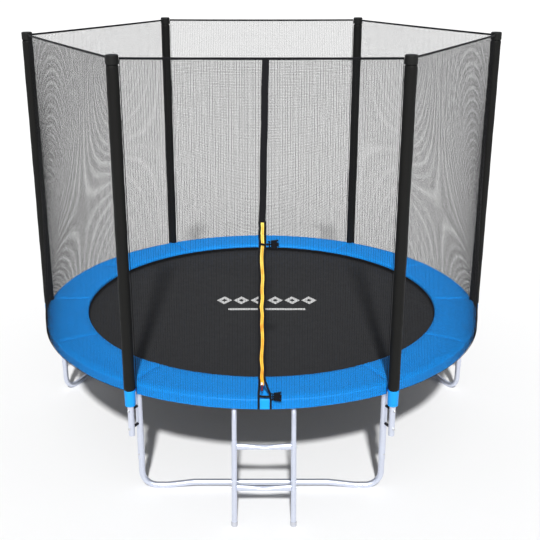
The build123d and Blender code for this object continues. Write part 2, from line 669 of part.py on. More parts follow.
def ladder_foot(x):
    boot = stile_rod(x, S_BOOT, S_FOOT + 12, STILE_LOW_R + 2.2)
    bore = stile_rod(x, S_FOOT - 30, S_FOOT + 30, STILE_LOW_R + STILE_FIT)
    return (boot - bore - floor_slab(-80, 0)) + (boot & floor_slab(0, 2.8))


stile_xs = [LADDER_X - STILE_X, LADDER_X + STILE_X]
for x, name in zip(stile_xs, ("left", "right")):
    save("ladder_stile_" + name, lower_stile(x))
group("ladder_hooks", [upper_stile(x) for x in stile_xs])
group("ladder_feet", [ladder_foot(x) for x in stile_xs])

# ---------------------------------------------------------------- ladder rungs
TREAD_HALF_DEPTH = 20.0
TREAD_HALF_HEIGHT = 14.5
TREAD_WALL = 1.7
RUNG_DIP = 9.0             # how far the tread is pressed down in its middle
DIP_SPREAD = 0.55          # width of the dip, as a share of the half length
DIP_SHIFT, DIP_SQUASH = 0.35, 0.65    # shares of the dip: axis shift, half-depth loss
PLUG_RADII = (12.2, 16.8)
PLUG_LEN = 16
SCREW_HEAD_T = 3.8


def across(x, y, z, direction=1):
    """Frame square to the rung, its x axis along the stile's outward normal."""
    return Plane(origin=(x, y, z), x_dir=(0, -cos_lean, sin_lean), z_dir=(direction, 0, 0))


def tread(y, z, wall, half_length):
    sections = []
    for k in range(9):
        share = -1 + k / 4.0
        dip = RUNG_DIP * math.exp(-(share / DIP_SPREAD) ** 2)
        sections.append(across(LADDER_X + share * half_length, y, z) * Pos(0, dip * DIP_SHIFT)
                        * Ellipse(TREAD_HALF_HEIGHT - wall,
                                  TREAD_HALF_DEPTH - dip * DIP_SQUASH - wall))
    return loft(sections)


rung_plugs, rung_screws = [], []
for rung_z, name in zip(RUNG_Z, ("lower", "upper")):
    s = stile_s(rung_z)
    _, y, z = on_stile(s, LADDER_X)
    rung = tread(y, z, 0, STILE_X) - tread(y, z, TREAD_WALL, STILE_X + 4)
    for x in stile_xs:
        rung = rung - stile_rod(x, s - 60, s + 60, STILE_LOW_R + STILE_FIT)
    # only the length between the stiles is kept
    save("ladder_rung_" + name, max(rung.solids(), key=lambda solid: solid.volume))

    for x, inward in zip(stile_xs, (1, -1)):
        # plug in the rung end, carrying the screw
        plug = across(x + inward * (STILE_LOW_R + 1), y, z, inward) * extrude(
            Ellipse(*PLUG_RADII), PLUG_LEN)
        rung_plugs.append(plug - rod((x, y, z), (x + inward * 60, y, z), RUNG_SCREW_R + SNUG))
        under_head = (x - inward * (STILE_LOW_R + 0.2), y, z)
        head_end = (x - inward * (STILE_LOW_R + 0.2 + SCREW_HEAD_T), y, z)
        tip = (x + inward * (STILE_LOW_R + 14), y, z)
        rung_screws.append(rod(under_head, tip, RUNG_SCREW_R) + rod(head_end, under_head, 6.0))
group("ladder_rung_plugs", rung_plugs)
group("ladder_rung_screws", rung_screws)
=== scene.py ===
"""Round trampoline with a spring pad, six padded poles, an enclosure net and a ladder.

The floor is z = 0, +Z is up and the frame is centred on the Z axis. The net's door,
the ladder and the camera are at the front, towards -Y; +X is right seen from there.
Lengths are millimetres unless a comment says otherwise; meshes are stored in metres.
"""
import json
import math

import bmesh
import bpy
import numpy as np
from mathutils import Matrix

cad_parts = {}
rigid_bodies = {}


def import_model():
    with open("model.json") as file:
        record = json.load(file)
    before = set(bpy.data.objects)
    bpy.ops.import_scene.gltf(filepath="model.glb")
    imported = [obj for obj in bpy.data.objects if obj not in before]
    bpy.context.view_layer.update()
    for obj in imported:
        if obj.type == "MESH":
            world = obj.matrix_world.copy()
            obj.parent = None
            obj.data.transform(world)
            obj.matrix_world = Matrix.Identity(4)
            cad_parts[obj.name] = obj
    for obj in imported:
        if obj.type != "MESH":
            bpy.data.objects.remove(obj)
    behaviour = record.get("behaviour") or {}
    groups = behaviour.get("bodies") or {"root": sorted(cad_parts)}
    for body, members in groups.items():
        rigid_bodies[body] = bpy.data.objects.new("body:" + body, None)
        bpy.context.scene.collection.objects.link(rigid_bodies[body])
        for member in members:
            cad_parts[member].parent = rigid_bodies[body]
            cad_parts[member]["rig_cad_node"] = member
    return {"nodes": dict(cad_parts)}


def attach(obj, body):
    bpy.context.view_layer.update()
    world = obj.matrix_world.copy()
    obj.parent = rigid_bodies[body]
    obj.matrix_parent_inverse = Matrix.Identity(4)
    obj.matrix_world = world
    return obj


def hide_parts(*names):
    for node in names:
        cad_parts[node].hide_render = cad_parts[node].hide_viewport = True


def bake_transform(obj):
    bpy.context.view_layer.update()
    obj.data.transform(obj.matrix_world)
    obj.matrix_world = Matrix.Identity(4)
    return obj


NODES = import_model()["nodes"]
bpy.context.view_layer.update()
MM = 0.001
TURN = 2 * math.pi

# ------------------------------------------------------------------ dimensions
RING_RADIUS = 1506.0
RING_Z = 718.0
POLE_RADIUS = 1587.0
POLE_ANGLES = (-120.0, -60.0, 0.0, 60.0, 120.0, 180.0)
# distance from the axis to the straight line between two neighbouring poles
CHORD = POLE_RADIUS * math.cos(math.radians(30))
# the six sides, anticlockwise from above, starting at the front
SIDES = ("front", "front_right", "back_right", "back", "back_left", "front_left")

MAT_RADIUS = 1300.0
HEM_RADIUS = 1281.0
HEM_STITCH_Z = 722.2
SPRING_ANGLES = [3 + 6 * i for i in range(60)]
SPRING_OUTER = 1488.0

PAD_IN, PAD_OUT, PAD_TOP = 1270.0, 1568.0, 765.0
PAD_CORNER = 8.5            # radius of the pad's top corners
PAD_NOTCH = 39.0            # radius of the pad's notch round each pole

NET_TOP, NET_BEND, NET_BOTTOM = 2677.0, 768.0, 702.0
NET_FOOT = 1571.5           # net's radius below the bend
NET_SLOPE = (NET_FOOT - CHORD) / (NET_TOP - NET_BEND)
NET_SLANT = math.hypot(1, NET_SLOPE)
NET_UP = np.array([0, NET_SLOPE / NET_SLANT, 1 / NET_SLANT])      # up the front side
NET_OUT = np.array([0, -1 / NET_SLANT, NET_SLOPE / NET_SLANT])    # out of the front side

ZIP_TOP, ZIP_BOTTOM = 1806.0, 853.0
STRIP_HALF = 19.0           # half width of the entrance strip
BINDING = 8.0               # the bindings' middles lie half of this inside the strip


def smooth01(t):
    t = np.clip(t, 0, 1)
    return t * t * (3 - 2 * t)


# --------------------------------------------------------------- mesh building
def make_mesh(name, verts, polys, materials, index=None):
    """verts is n x 3; polys is a list of integer arrays, one row per face."""
    mesh = bpy.data.meshes.new(name)
    coords = (np.asarray(verts, float) * MM).astype(np.float32)
    mesh.vertices.add(len(coords))
    mesh.vertices.foreach_set("co", coords.ravel())
    polys = [np.asarray(p, np.int32) for p in polys]
    loops = np.concatenate([p.ravel() for p in polys])
    sizes = np.concatenate([np.full(len(p), p.shape[1], np.int32) for p in polys])
    starts = np.concatenate([[0], np.cumsum(sizes)[:-1]]).astype(np.int32)
    mesh.loops.add(len(loops))
    mesh.loops.foreach_set("vertex_index", loops)
    mesh.polygons.add(len(sizes))
    mesh.polygons.foreach_set("loop_start", starts)
    mesh.update(calc_edges=True)
    mesh.validate()
    mesh.polygons.foreach_set("use_smooth", np.full(len(mesh.polygons), True, bool))
    for material in materials:
        mesh.materials.append(material)
    if index is not None:
        mesh.polygons.foreach_set("material_index", np.asarray(index, np.int32))
    mesh.update()
    obj = bpy.data.objects.new(name, mesh)
    bpy.context.scene.collection.objects.link(obj)
    return obj


class Bundle:
    """Collects closed pieces of mesh that share one object."""

    def __init__(self):
        self.verts, self.quads, self.tris, self.count = [], [], [], 0

    def add(self, verts, quads, tris=None):
        self.quads.append(quads + self.count)
        if tris is not None:
            self.tris.append(tris + self.count)
        self.verts.append(verts)
        self.count += len(verts)

    def make(self, name, material):
        polys = [np.concatenate(faces) for faces in (self.quads, self.tris) if faces]
        return make_mesh(name, np.concatenate(self.verts), polys, [material])


def grid_quads(rows, columns, close_rows=False, close_columns=True):
    i = np.arange(rows if close_rows else rows - 1)[:, None]
    j = np.arange(columns if close_columns else columns - 1)[None, :]
    i2, j2 = (i + 1) % rows, (j + 1) % columns
    corners = [i * columns + j, i * columns + j2, i2 * columns + j2, i2 * columns + j]
    return np.stack(corners, -1).reshape(-1, 4)


def unit(vectors):
    return vectors / (np.linalg.norm(vectors, axis=1)[:, None] + 1e-12)


def polar(radius, angles, z):
    """Points round the Z axis; the three arguments are broadcast together."""
    x, y = radius * np.cos(angles), radius * np.sin(angles)
    return np.stack(np.broadcast_arrays(x, y, z), -1)


def rotated(points, degrees):
    angle = math.radians(degrees)
    c, s = math.cos(angle), math.sin(angle)
    points = np.asarray(points, float)
    x, y, z = points[..., 0], points[..., 1], points[..., 2]
    return np.stack([x * c - y * s, x * s + y * c, z], -1)


def circle(radius, count):
    angles = np.arange(count) * 2 * math.pi / count
    return np.stack([radius * np.cos(angles), radius * np.sin(angles)], -1)


def circle_path(radius, z, count, endpoint=False):
    return polar(radius, np.radians(np.linspace(0, 360, count, endpoint=endpoint)), z)


def flat(width, thickness):
    """Flat section with rounded ends: width runs along the first direction."""
    half = thickness / 2
    end = half * 0.98
    reach = width / 2 - end
    points = []
    for side in (1, -1):
        for step in range(5):
            angle = math.radians(-90 * side + 180 * step / 4)
            points.append((side * reach + end * math.cos(angle), half * math.sin(angle)))
        # points along the flat side keep the faces even
        for step in (1, 2, 3):
            points.append((side * reach - side * 2 * reach * step / 4, side * half))
    return np.array(points)


def sweep(bundle, path, section, closed=False, up=(0, 0, 1)):
    """Sweeps a section along a path.

    The section is m x 2, or n x m x 2 for one at each path point, along the path's
    side and up directions. An open sweep is capped at both ends.
    """
    n = len(path)
    if closed:
        tangents = unit(np.roll(path, -1, 0) - np.roll(path, 1, 0))
    else:
        tangents = unit(np.gradient(path, axis=0))
    side = np.cross(tangents, np.broadcast_to(np.asarray(up, float), path.shape))
    # where the path runs along `up`, another direction stands in for it
    bad = np.linalg.norm(side, axis=1) < 1e-3
    side[bad] = np.cross(tangents[bad], (1.0, 0.013, 0.0))
    side = unit(side)
    lift = np.cross(side, tangents)
    section = np.broadcast_to(section, (n,) + section.shape[-2:])
    m = section.shape[1]
    verts = (path[:, None, :] + section[:, :, 0:1] * side[:, None, :]
             + section[:, :, 1:2] * lift[:, None, :]).reshape(-1, 3)
    quads = grid_quads(n, m, close_rows=closed)
    if closed:
        bundle.add(verts, quads)
        return
    j = np.arange(m)
    j2 = (j + 1) % m
    last = (n - 1) * m
    start_cap = np.stack([np.full(m, n * m), j2, j], -1)
    end_cap = np.stack([np.full(m, n * m + 1), last + j, last + j2], -1)
    bundle.add(np.concatenate([verts, path[:1], path[-1:]]), quads,
               np.concatenate([start_cap, end_cap]))


def radial_tape(bundle, path, degrees, section):
    """Sweeps a tape whose path lies in the XZ plane, turned to an angle round the axis."""
    path = rotated(path, degrees)
    angle = math.radians(degrees)
    across = np.array([-math.sin(angle), math.cos(angle), 0.0])
    tangents = unit(np.gradient(path, axis=0))
    sweep(bundle, path, section, up=-np.cross(tangents, across))


def stitches(bundle, path, normal, length, gap, radius):
    """Adds a row of lockstitches along a path; normal is the way out of the fabric."""
    steps = np.linalg.norm(np.diff(path, axis=0), axis=1)
    distance = np.concatenate([[0], np.cumsum(steps)])
    normals = np.broadcast_to(np.asarray(normal, float), path.shape)
    count = int(distance[-1] / (length + gap))

    def along(x, values):
        return np.stack([np.interp(x, distance, values[:, i]) for i in range(3)], -1)

    # five rings per stitch: place along it, height over the fabric, thickness
    offset = np.array([-0.5, -0.28, 0.0, 0.28, 0.5]) * length
    lift = np.array([-0.5, 0.45, 0.7, 0.45, -0.5]) * radius
    thickness = np.array([0.25, 0.85, 1.0, 0.85, 0.25]) * radius
    centres = (np.arange(count) + 0.5) * (length + gap)
    x = (centres[:, None] + offset[None, :]).ravel()
    out = unit(along(x, normals))
    side = np.cross(unit(along(x + 0.5, path) - along(x - 0.5, path)), out)
    points = along(x, path) + np.tile(lift, count)[:, None] * out
    m = 5
    ring = circle(1.0, m)[None]
    verts = points[:, None, :] + np.tile(thickness, count)[:, None, None] * (
        ring[:, :, 0:1] * side[:, None, :] + ring[:, :, 1:2] * out[:, None, :])
    last = 4 * m
    caps = [(0, i, i + 1) for i in range(1, m - 1)]
    caps += [(last + i + 1, last + i, last) for i in range(1, m - 1)]
    base = (np.arange(count) * 5 * m)[:, None, None]
    bundle.add(verts.reshape(-1, 3), (grid_quads(5, m)[None] + base).reshape(-1, 4),
               (np.array(caps)[None] + base).reshape(-1, 3))


# ------------------------------------------------------------------- materials
def srgb(red, green, blue):
    """Linear colour from 0-255 sRGB values."""
    def linear(value):
        value = value / 255
        return value / 12.92 if value <= 0.04045 else ((value + 0.055) / 1.055) ** 2.4
    return (linear(red), linear(green), linear(blue), 1.0)


class Look:
    """A Principled material with helpers for its texture nodes, which work in metres."""

    def __init__(self, name, rgb, roughness, metallic=0.0, specular=0.5, **inputs):
        self.material = bpy.data.materials.new(name)
        self.material.use_nodes = True
        self.tree = self.material.node_tree
        self.inputs = self.tree.nodes["Principled BSDF"].inputs
        self.color = srgb(*rgb)
        self.inputs["Base Color"].default_value = self.color
        self.inputs["Roughness"].default_value = roughness
        self.inputs["Metallic"].default_value = metallic
        self.inputs["Specular IOR Level"].default_value = specular
        for key, value in inputs.items():
            self.inputs[key.replace("_", " ").title()].default_value = value
        self.coords = self.node("ShaderNodeTexCoord").outputs["Object"]
        self.normal = None

    def node(self, kind, **settings):
        node = self.tree.nodes.new(kind)
        for key, value in settings.items():
            setattr(node, key, value)
        return node

    def put(self, value, socket):
        """Links an output to a socket, or sets the socket to a plain value."""
        if isinstance(value, bpy.types.NodeSocket):
            self.tree.links.new(value, socket)
        else:
            socket.default_value = value

    def noise(self, scale, detail=2.0, roughness=0.5, stretch=None):
        node = self.node("ShaderNodeTexNoise")
        node.inputs["Scale"].default_value = scale
        node.inputs["Detail"].default_value = detail
        node.inputs["Roughness"].default_value = roughness
        source = self.coords
        if stretch is not None:
            mapping = self.node("ShaderNodeMapping")
            mapping.inputs["Scale"].default_value = stretch
            self.put(self.coords, mapping.inputs["Vector"])
            source = mapping.outputs["Vector"]
        self.put(source, node.inputs["Vector"])
        return node.outputs["Fac"]

    def voronoi(self, scale, output="Distance"):
        node = self.node("ShaderNodeTexVoronoi")
        node.inputs["Scale"].default_value = scale
        self.put(self.coords, node.inputs["Vector"])
        return node.outputs[output]

    def wave(self, scale, axis):
        node = self.node("ShaderNodeTexWave", bands_direction=axis)
        node.inputs["Scale"].default_value = scale
        self.put(self.coords, node.inputs["Vector"])
        return node.outputs["Fac"]

    def weave(self, warp, weft):
        """Two crossing waves, each given as (scale, axis)."""
        return self.calc("MULTIPLY", self.wave(*warp), self.wave(*weft))

    def calc(self, operation, *values, clamp=False):
        node = self.node("ShaderNodeMath", operation=operation, use_clamp=clamp)
        for i, value in enumerate(values):
            self.put(value, node.inputs[i])
        return node.outputs[0]

    def blend(self, first, first_share, second, second_share):
        return self.calc("ADD", self.calc("MULTIPLY", first, first_share),
                         self.calc("MULTIPLY", second, second_share))

    def separate_position(self):
        node = self.node("ShaderNodeSeparateXYZ")
        self.put(self.coords, node.inputs[0])
        return node.outputs

    def remap(self, value, source, target):
        node = self.node("ShaderNodeMapRange")
        self.put(value, node.inputs["Value"])
        for label, (low, high) in (("From", source), ("To", target)):
            node.inputs[label + " Min"].default_value = low
            node.inputs[label + " Max"].default_value = high
        return node.outputs["Result"]

    def mix(self, factor, first, second):
        node = self.node("ShaderNodeMix", data_type="RGBA")
        for i, value in ((0, factor), (6, first), (7, second)):
            self.put(value, node.inputs[i])
        return node.outputs[2]

    def tone(self, factor, amount):
        """Base colour between (1 - amount) and (1 + amount) of itself."""
        low = tuple(c * (1 - amount) for c in self.color[:3]) + (1.0,)
        high = tuple(min(1.0, c * (1 + amount)) for c in self.color[:3]) + (1.0,)
        return self.mix(factor, low, high)

    def vary_color(self, factor, amount):
        self.put(self.tone(factor, amount), self.inputs["Base Color"])

    def vary_roughness(self, factor, low, high):
        self.put(self.remap(factor, (0.3, 0.7), (low, high)), self.inputs["Roughness"])

    def bump(self, height, strength, distance):
        """Adds a bump layer over the earlier ones."""
        node = self.node("ShaderNodeBump")
        node.inputs["Strength"].default_value = strength
        node.inputs["Distance"].default_value = distance
        self.put(height, node.inputs["Height"])
        if self.normal is not None:
            self.put(self.normal, node.inputs["Normal"])
        self.normal = node.outputs["Normal"]
        self.put(self.normal, self.inputs["Normal"])


def galvanised():
    look = Look("galvanised_steel", (210, 215, 229), roughness=0.34, metallic=0.74, specular=0.4)
    cells = look.voronoi(scale=95.0, output="Color")
    channels = look.node("ShaderNodeSeparateColor")
    look.put(cells, channels.inputs[0])
    stain = look.noise(scale=9.0, detail=4.0, roughness=0.6)
    look.vary_color(look.blend(channels.outputs[0], 0.25, stain, 0.75), amount=0.06)
    look.vary_roughness(stain, low=0.36, high=0.44)
    look.bump(look.noise(scale=240.0), strength=0.02, distance=0.0002)
    return look.material


def steel(name, rgb, roughness, metallic=0.85):
    look = Look(name, rgb, roughness, metallic)
    stain = look.noise(scale=160.0, detail=3.0)
    look.vary_color(stain, amount=0.14)
    look.vary_roughness(stain, low=roughness - 0.08, high=roughness + 0.1)
    look.bump(look.noise(scale=900.0, detail=1.0), strength=0.08, distance=0.0004)
    return look.material


def plastic(name, rgb, roughness, grain=700.0, depth=0.0003, specular=0.22):
    look = Look(name, rgb, roughness, specular=specular)
    look.vary_color(look.noise(scale=30.0, detail=3.0), amount=0.12)
    look.vary_roughness(look.noise(scale=60.0, detail=3.0),
                        low=roughness - 0.06, high=roughness + 0.08)
    look.bump(look.voronoi(grain), strength=0.18, distance=depth)
    return look.material


def vinyl(name, rgb, creased=True):
    look = Look(name, rgb, roughness=0.5, specular=0.18, coat_weight=0.03, coat_roughness=0.35)
    look.vary_color(look.noise(scale=5.0, detail=4.0, roughness=0.55), amount=0.05)
    look.vary_roughness(look.noise(scale=28.0, detail=3.0), low=0.46, high=0.58)
    # scrim of the coated fabric showing through, then fine grain, then soft creases
    look.bump(look.weave(warp=(105.0, "X"), weft=(105.0, "Y")), strength=0.10, distance=0.0003)
    look.bump(look.noise(scale=900.0), strength=0.12, distance=0.0003)
    if creased:
        look.bump(look.noise(scale=17.0, roughness=0.45), strength=0.10, distance=0.005)
    return look.material


def webbing(name, rgb, axis="Z", roughness=0.72, weave_scale=300.0):
    look = Look(name, rgb, roughness, specular=0.12, sheen_weight=0.03, sheen_roughness=0.5)
    weave = look.weave(warp=(weave_scale, "DIAGONAL"), weft=(weave_scale * 0.8, axis))
    look.vary_color(weave, amount=0.3)
    look.bump(weave, strength=0.35, distance=0.0005)
    look.bump(look.noise(scale=60.0), strength=0.10, distance=0.002)
    return look.material


def sleeve_fabric():
    """Woven nylon pulled over foam: fine weave, soft creases, a little sheen."""
    look = Look("sleeve_fabric", (22, 22, 21), roughness=0.6, specular=0.12,
                sheen_weight=0.01, sheen_roughness=0.45)
    weave = look.weave(warp=(260.0, "Z"), weft=(260.0, "DIAGONAL"))
    look.vary_color(look.noise(scale=12.0, detail=4.0, roughness=0.6), amount=0.16)
    look.vary_roughness(look.noise(scale=24.0, detail=3.0), low=0.52, high=0.66)
    look.bump(weave, strength=0.16, distance=0.0004)
    look.bump(look.noise(scale=22.0, detail=3.0, stretch=(1.0, 1.0, 0.35)),
              strength=0.22, distance=0.003)
    return look.material


def mat_fabric():
    """Woven polypropylene with a light print: a row of lozenges and a stripe before it."""
    # the print's places and sizes, in metres
    centre_x, centre_y = 0.039, 0.085
    pitch, count = 0.128, 6
    lozenge_half_x, lozenge_half_y = 0.058, 0.078
    hole_share = 0.36
    stripe_y = centre_y - 0.175
    stripe_half_x, stripe_half_y = 0.285, 0.017

    look = Look("mat_weave", (51, 51, 52), roughness=0.66, specular=0.10, sheen_weight=0.01)
    calc = look.calc
    weave = look.weave(warp=(160.0, "X"), weft=(160.0, "Y"))
    cloud = look.noise(scale=3.0, detail=4.0, roughness=0.6)
    base = look.tone(look.blend(weave, 0.35, cloud, 0.65), amount=0.09)
    x, y = look.separate_position()[:2]
    row_x = calc("ADD", x, count * pitch / 2 - centre_x)
    cell = calc("SUBTRACT", calc("MODULO", row_x, pitch), pitch / 2)
    in_row = calc("MULTIPLY", calc("GREATER_THAN", row_x, 0.0),
                  calc("LESS_THAN", row_x, count * pitch))
    across = calc("DIVIDE", calc("ABSOLUTE", cell), lozenge_half_x)
    along = calc("DIVIDE", calc("ABSOLUTE", calc("SUBTRACT", y, centre_y)), lozenge_half_y)
    lozenge = calc("LESS_THAN", calc("ADD", across, along), 1.0)
    solid = calc("GREATER_THAN", calc("ADD", across, along), hole_share)
    lozenge = calc("MULTIPLY", calc("MULTIPLY", lozenge, solid), in_row)

    def near(value, centre, half):
        return calc("LESS_THAN", calc("ABSOLUTE", calc("SUBTRACT", value, centre)), half)

    stripe = calc("MULTIPLY", near(y, stripe_y, stripe_half_y),
                  near(x, centre_x, stripe_half_x))
    mark = calc("MAXIMUM", lozenge, stripe)
    # the print breaks up a little over the weave
    worn = look.remap(look.noise(scale=95.0, detail=3.0, roughness=0.6),
                      source=(0.30, 0.44), target=(0.55, 1.0))
    mark = calc("MULTIPLY", mark, worn)
    look.put(look.mix(mark, base, srgb(232, 232, 232)), look.inputs["Base Color"])
    look.vary_roughness(look.noise(scale=20.0, detail=3.0), low=0.56, high=0.70)
    look.bump(weave, strength=0.28, distance=0.0005)
    return look.material


def thread(name, rgb):
    look = Look(name, rgb, roughness=0.6, specular=0.10)
    look.vary_color(look.noise(scale=300.0), amount=0.25)
    look.bump(look.wave(420.0, "DIAGONAL"), strength=0.25, distance=0.0003)
    return look.material


def zip_tape_fabric():
    """Orange-yellow at the foot of the zip, paler at its top, with painted shade: darker orange
    patches where the tape would fold.
    """
    look = Look("zip_tape_yellow", (240, 205, 78), roughness=0.55, specular=0.4)
    height = look.remap(look.separate_position()[2], source=(0.85, 1.80), target=(0.0, 1.0))
    patches = look.calc("SUBTRACT", look.noise(scale=14.0), 0.5)
    height = look.calc("ADD", height, look.calc("MULTIPLY", patches, 0.9), clamp=True)
    color = look.mix(height, srgb(248, 178, 40), srgb(250, 226, 104))
    weave = look.weave(warp=(330.0, "DIAGONAL"), weft=(400.0, "Z"))
    color = look.mix(look.calc("MULTIPLY", weave, 0.25), color, srgb(200, 120, 20))
    # painted shade: noise-shaped patches of darker orange stand in for the shade in the tape's
    # folds
    folds = look.remap(look.noise(scale=34.0, stretch=(1.0, 1.0, 0.55)),
                       source=(0.48, 0.66), target=(0.0, 0.75))
    fold_shade_color = look.mix(height, srgb(206, 112, 14), srgb(214, 176, 60))
    look.put(look.mix(folds, color, fold_shade_color), look.inputs["Base Color"])
    look.bump(weave, strength=0.3, distance=0.0004)
    return look.material


def foam():
    look = Look("foam_core", (236, 236, 230), roughness=0.85, specular=0.2)
    look.vary_color(look.voronoi(scale=350.0), amount=0.1)
    look.bump(look.voronoi(scale=420.0), strength=0.4, distance=0.0008)
    return look.material


GALVANISED = galvanised()
ZINC = steel("zinc_steel", (205, 206, 208), roughness=0.32)
SPACER = plastic("spacer_plastic", (24, 24, 28), roughness=0.45)
CAP = plastic("cap_plastic", (20, 20, 19), roughness=0.55)
BUCKLE = plastic("buckle_plastic", (13, 14, 20), roughness=0.42,
                 grain=900.0, depth=0.00015, specular=0.10)
RUBBER = plastic("foot_rubber", (176, 178, 186), roughness=0.6)
PLUG = plastic("plug_plastic", (40, 41, 44), roughness=0.5)
PAD_VINYL = vinyl("pad_vinyl", (21, 155, 255))
CUFF_VINYL = vinyl("cuff_vinyl", (22, 147, 229), creased=False)
UNDERSIDE = webbing("pad_underside_weave", (34, 34, 36), axis="X",
                    roughness=0.8, weave_scale=140.0)
SLEEVE = sleeve_fabric()
MAT_WEAVE = mat_fabric()
WEBBING = webbing("black_webbing", (20, 20, 23))
HEM = webbing("mat_hem", (38, 38, 40), axis="X", roughness=0.75, weave_scale=220.0)
NET_THREAD = thread("net_thread", (20, 20, 21))
BLUE_THREAD = thread("seam_thread", (34, 150, 238))
DARK_THREAD = thread("dark_seam_thread", (60, 60, 64))
ZIP_TAPE = zip_tape_fabric()
ZIP_COIL = plastic("coil_nylon", (214, 128, 26), roughness=0.35, grain=1500.0, depth=0.0001)
SLIDER = steel("slider_metal", (228, 228, 232), roughness=0.2, metallic=1.0)
PULL = plastic("pull_plastic", (96, 12, 14), roughness=0.38)
FOAM = foam()

# ------------------------------------------------------------------ CAD pieces
CAD_MATERIALS = {
    GALVANISED: ["top_rail_" + side for side in SIDES] + [
        "t_sockets", "leg_extension_tubes", "base_leg_front", "base_leg_left",
        "base_leg_right", "pole_lower_tubes", "pole_upper_tubes", "ladder_stile_left",
        "ladder_stile_right", "ladder_hooks"],
    ZINC: ["leg_joint_screws", "pole_nuts", "pole_bolts", "pole_washers",
           "ladder_rung_screws"],
    SPACER: ["pole_spacers"],
    CAP: ["pole_caps"],
    PLUG: ["ladder_rung_plugs"],
    RUBBER: ["ladder_feet"],
    BUCKLE: ["buckle_sockets", "buckle_plug_lower", "buckle_plug_upper"],
    SLIDER: ["zip_slider"],
    PULL: ["zip_pull"],
    FOAM: ["pad_foam_cores"],
}
BEVEL_WIDTHS = {
    "buckle_sockets": 1.2, "buckle_plug_lower": 0.8, "buckle_plug_upper": 0.8,
    "zip_slider": 0.6, "zip_pull": 0.4, "ladder_hooks": 0.4,
    "pole_bolts": 0.5, "pole_nuts": 0.5,
}


def dress_cad():
    for material, names in CAD_MATERIALS.items():
        for name in names:
            obj = NODES[name]
            if not obj.material_slots:
                obj.data.materials.append(None)
            for slot in obj.material_slots:
                slot.link = "OBJECT"
                slot.material = material
    for name, width in BEVEL_WIDTHS.items():
        weld = NODES[name].modifiers.new("Weld", "WELD")
        weld.merge_threshold = 0.00002
        bevel = NODES[name].modifiers.new("Bevel", "BEVEL")
        bevel.width = width * MM
        bevel.segments = 2
        bevel.limit_method = "ANGLE"
        bevel.angle_limit = math.radians(35)
        bevel.harden_normals = False


# ------------------------------------------------- what each piece moves with
def place(obj, replaced, body="frame"):
    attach(obj, body)
    if replaced:
        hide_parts(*replaced)


def place_between(obj, weight, replaced):
    """Bakes the piece's transform, works out each vertex's share between the frame (weight 0)
    and a moving body (weight 1), and hides the CAD nodes it replaces.
    """
    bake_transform(obj)
    coords = np.zeros(len(obj.data.vertices) * 3, np.float32)
    obj.data.vertices.foreach_get("co", coords)
    weights = np.clip(weight(coords.reshape(-1, 3).astype(float) / MM), 0, 1)
    if replaced:
        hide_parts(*replaced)


def flap_weight(points):
    """How far a point of the skirt or the net's hem follows the lifted front of the skirt."""
    x, y, z = points.T
    drop = smooth01((757.0 - z) / 14.0)
    middle = smooth01((430.0 - np.abs(x)) / 190.0)
    # the pad's underside stays where it is
    hanging = (np.hypot(x, y) > 1565.4) | (z < 742.0)
    return drop * middle * hanging * (y < -1200)


def mat_weight(points):
    """The ring holds the springs' outer ends; the middle of the mat goes all the way."""
    edge = 0.30
    radius = np.hypot(points[:, 0], points[:, 1])
    spring = edge * np.clip((SPRING_OUTER - radius) / (SPRING_OUTER - MAT_RADIUS), 0, 1)
    dish = edge + (1 - edge) * (1 - smooth01(radius / MAT_RADIUS) ** 0.9)
    return np.where(radius > MAT_RADIUS, spring, dish)


def place_on_flap(obj, replaced):
    place_between(obj, flap_weight, replaced)


def place_on_mat(obj, replaced):
    place_between(obj, mat_weight, replaced)


# ------------------------------------------------------------ jumping mat, hem
def jumping_mat():
    top_z, bottom_z = RING_Z + 1.5, RING_Z - 1.5
    columns = 288
    radii = np.concatenate([np.linspace(25, 1262, 46), [1275, 1290, 1297, MAT_RADIUS]])
    rows = len(radii)
    angles = np.arange(columns) * 2 * math.pi / columns
    top = polar(radii[:, None], angles, top_z).reshape(-1, 3)
    bottom = polar(radii[:, None], angles, bottom_z).reshape(-1, 3)
    verts = np.concatenate([top, bottom, [[0, 0, top_z], [0, 0, bottom_z]]])
    faces = grid_quads(rows, columns)
    under = rows * columns          # index of the bottom's first vertex
    j = np.arange(columns)
    j2 = (j + 1) % columns
    rim = under - columns           # index of the top's outermost row
    rim_quads = np.stack([under + rim + j2, under + rim + j, rim + j, rim + j2], -1)
    top_fan = np.stack([np.full(columns, 2 * under), j, j2], -1)
    bottom_fan = np.stack([np.full(columns, 2 * under + 1), under + j2, under + j], -1)
    polys = [faces[:, ::-1], faces + under, rim_quads, top_fan, bottom_fan]
    mat = make_mesh("jumping_mat_weave", verts, polys, [MAT_WEAVE])
    place_on_mat(mat, ["jumping_mat"])


def mat_hem():
    bundle = Bundle()
    sweep(bundle, circle_path(HEM_RADIUS, 720.95, 360), flat(38, 2.4), closed=True)
    place_on_mat(bundle.make("mat_hem_band", HEM), ["mat_hem_webbing"])

    bundle = Bundle()
    for radius in (1264.5, 1297.0):
        stitches(bundle, circle_path(radius, HEM_STITCH_Z, 1440, endpoint=True), (0, 0, 1),
                 length=6.5, gap=2.5, radius=0.5)
    # two bar tacks over each ring's webbing tab
    for degrees in SPRING_ANGLES:
        # a tack is five stitch pitches long, so this rounding decides its stitch count
        rounded = math.degrees(math.radians(degrees))
        for y in (-9, 9):
            ends = np.array([[HEM_RADIUS - 15, y, HEM_STITCH_Z],
                             [HEM_RADIUS + 15, y, HEM_STITCH_Z]])
            start, end = rotated(ends, rounded)
            stitches(bundle, np.linspace(start, end, 8), (0, 0, 1),
                     length=4.5, gap=1.5, radius=0.45)
    place_on_mat(bundle.make("mat_hem_stitching", DARK_THREAD), [])


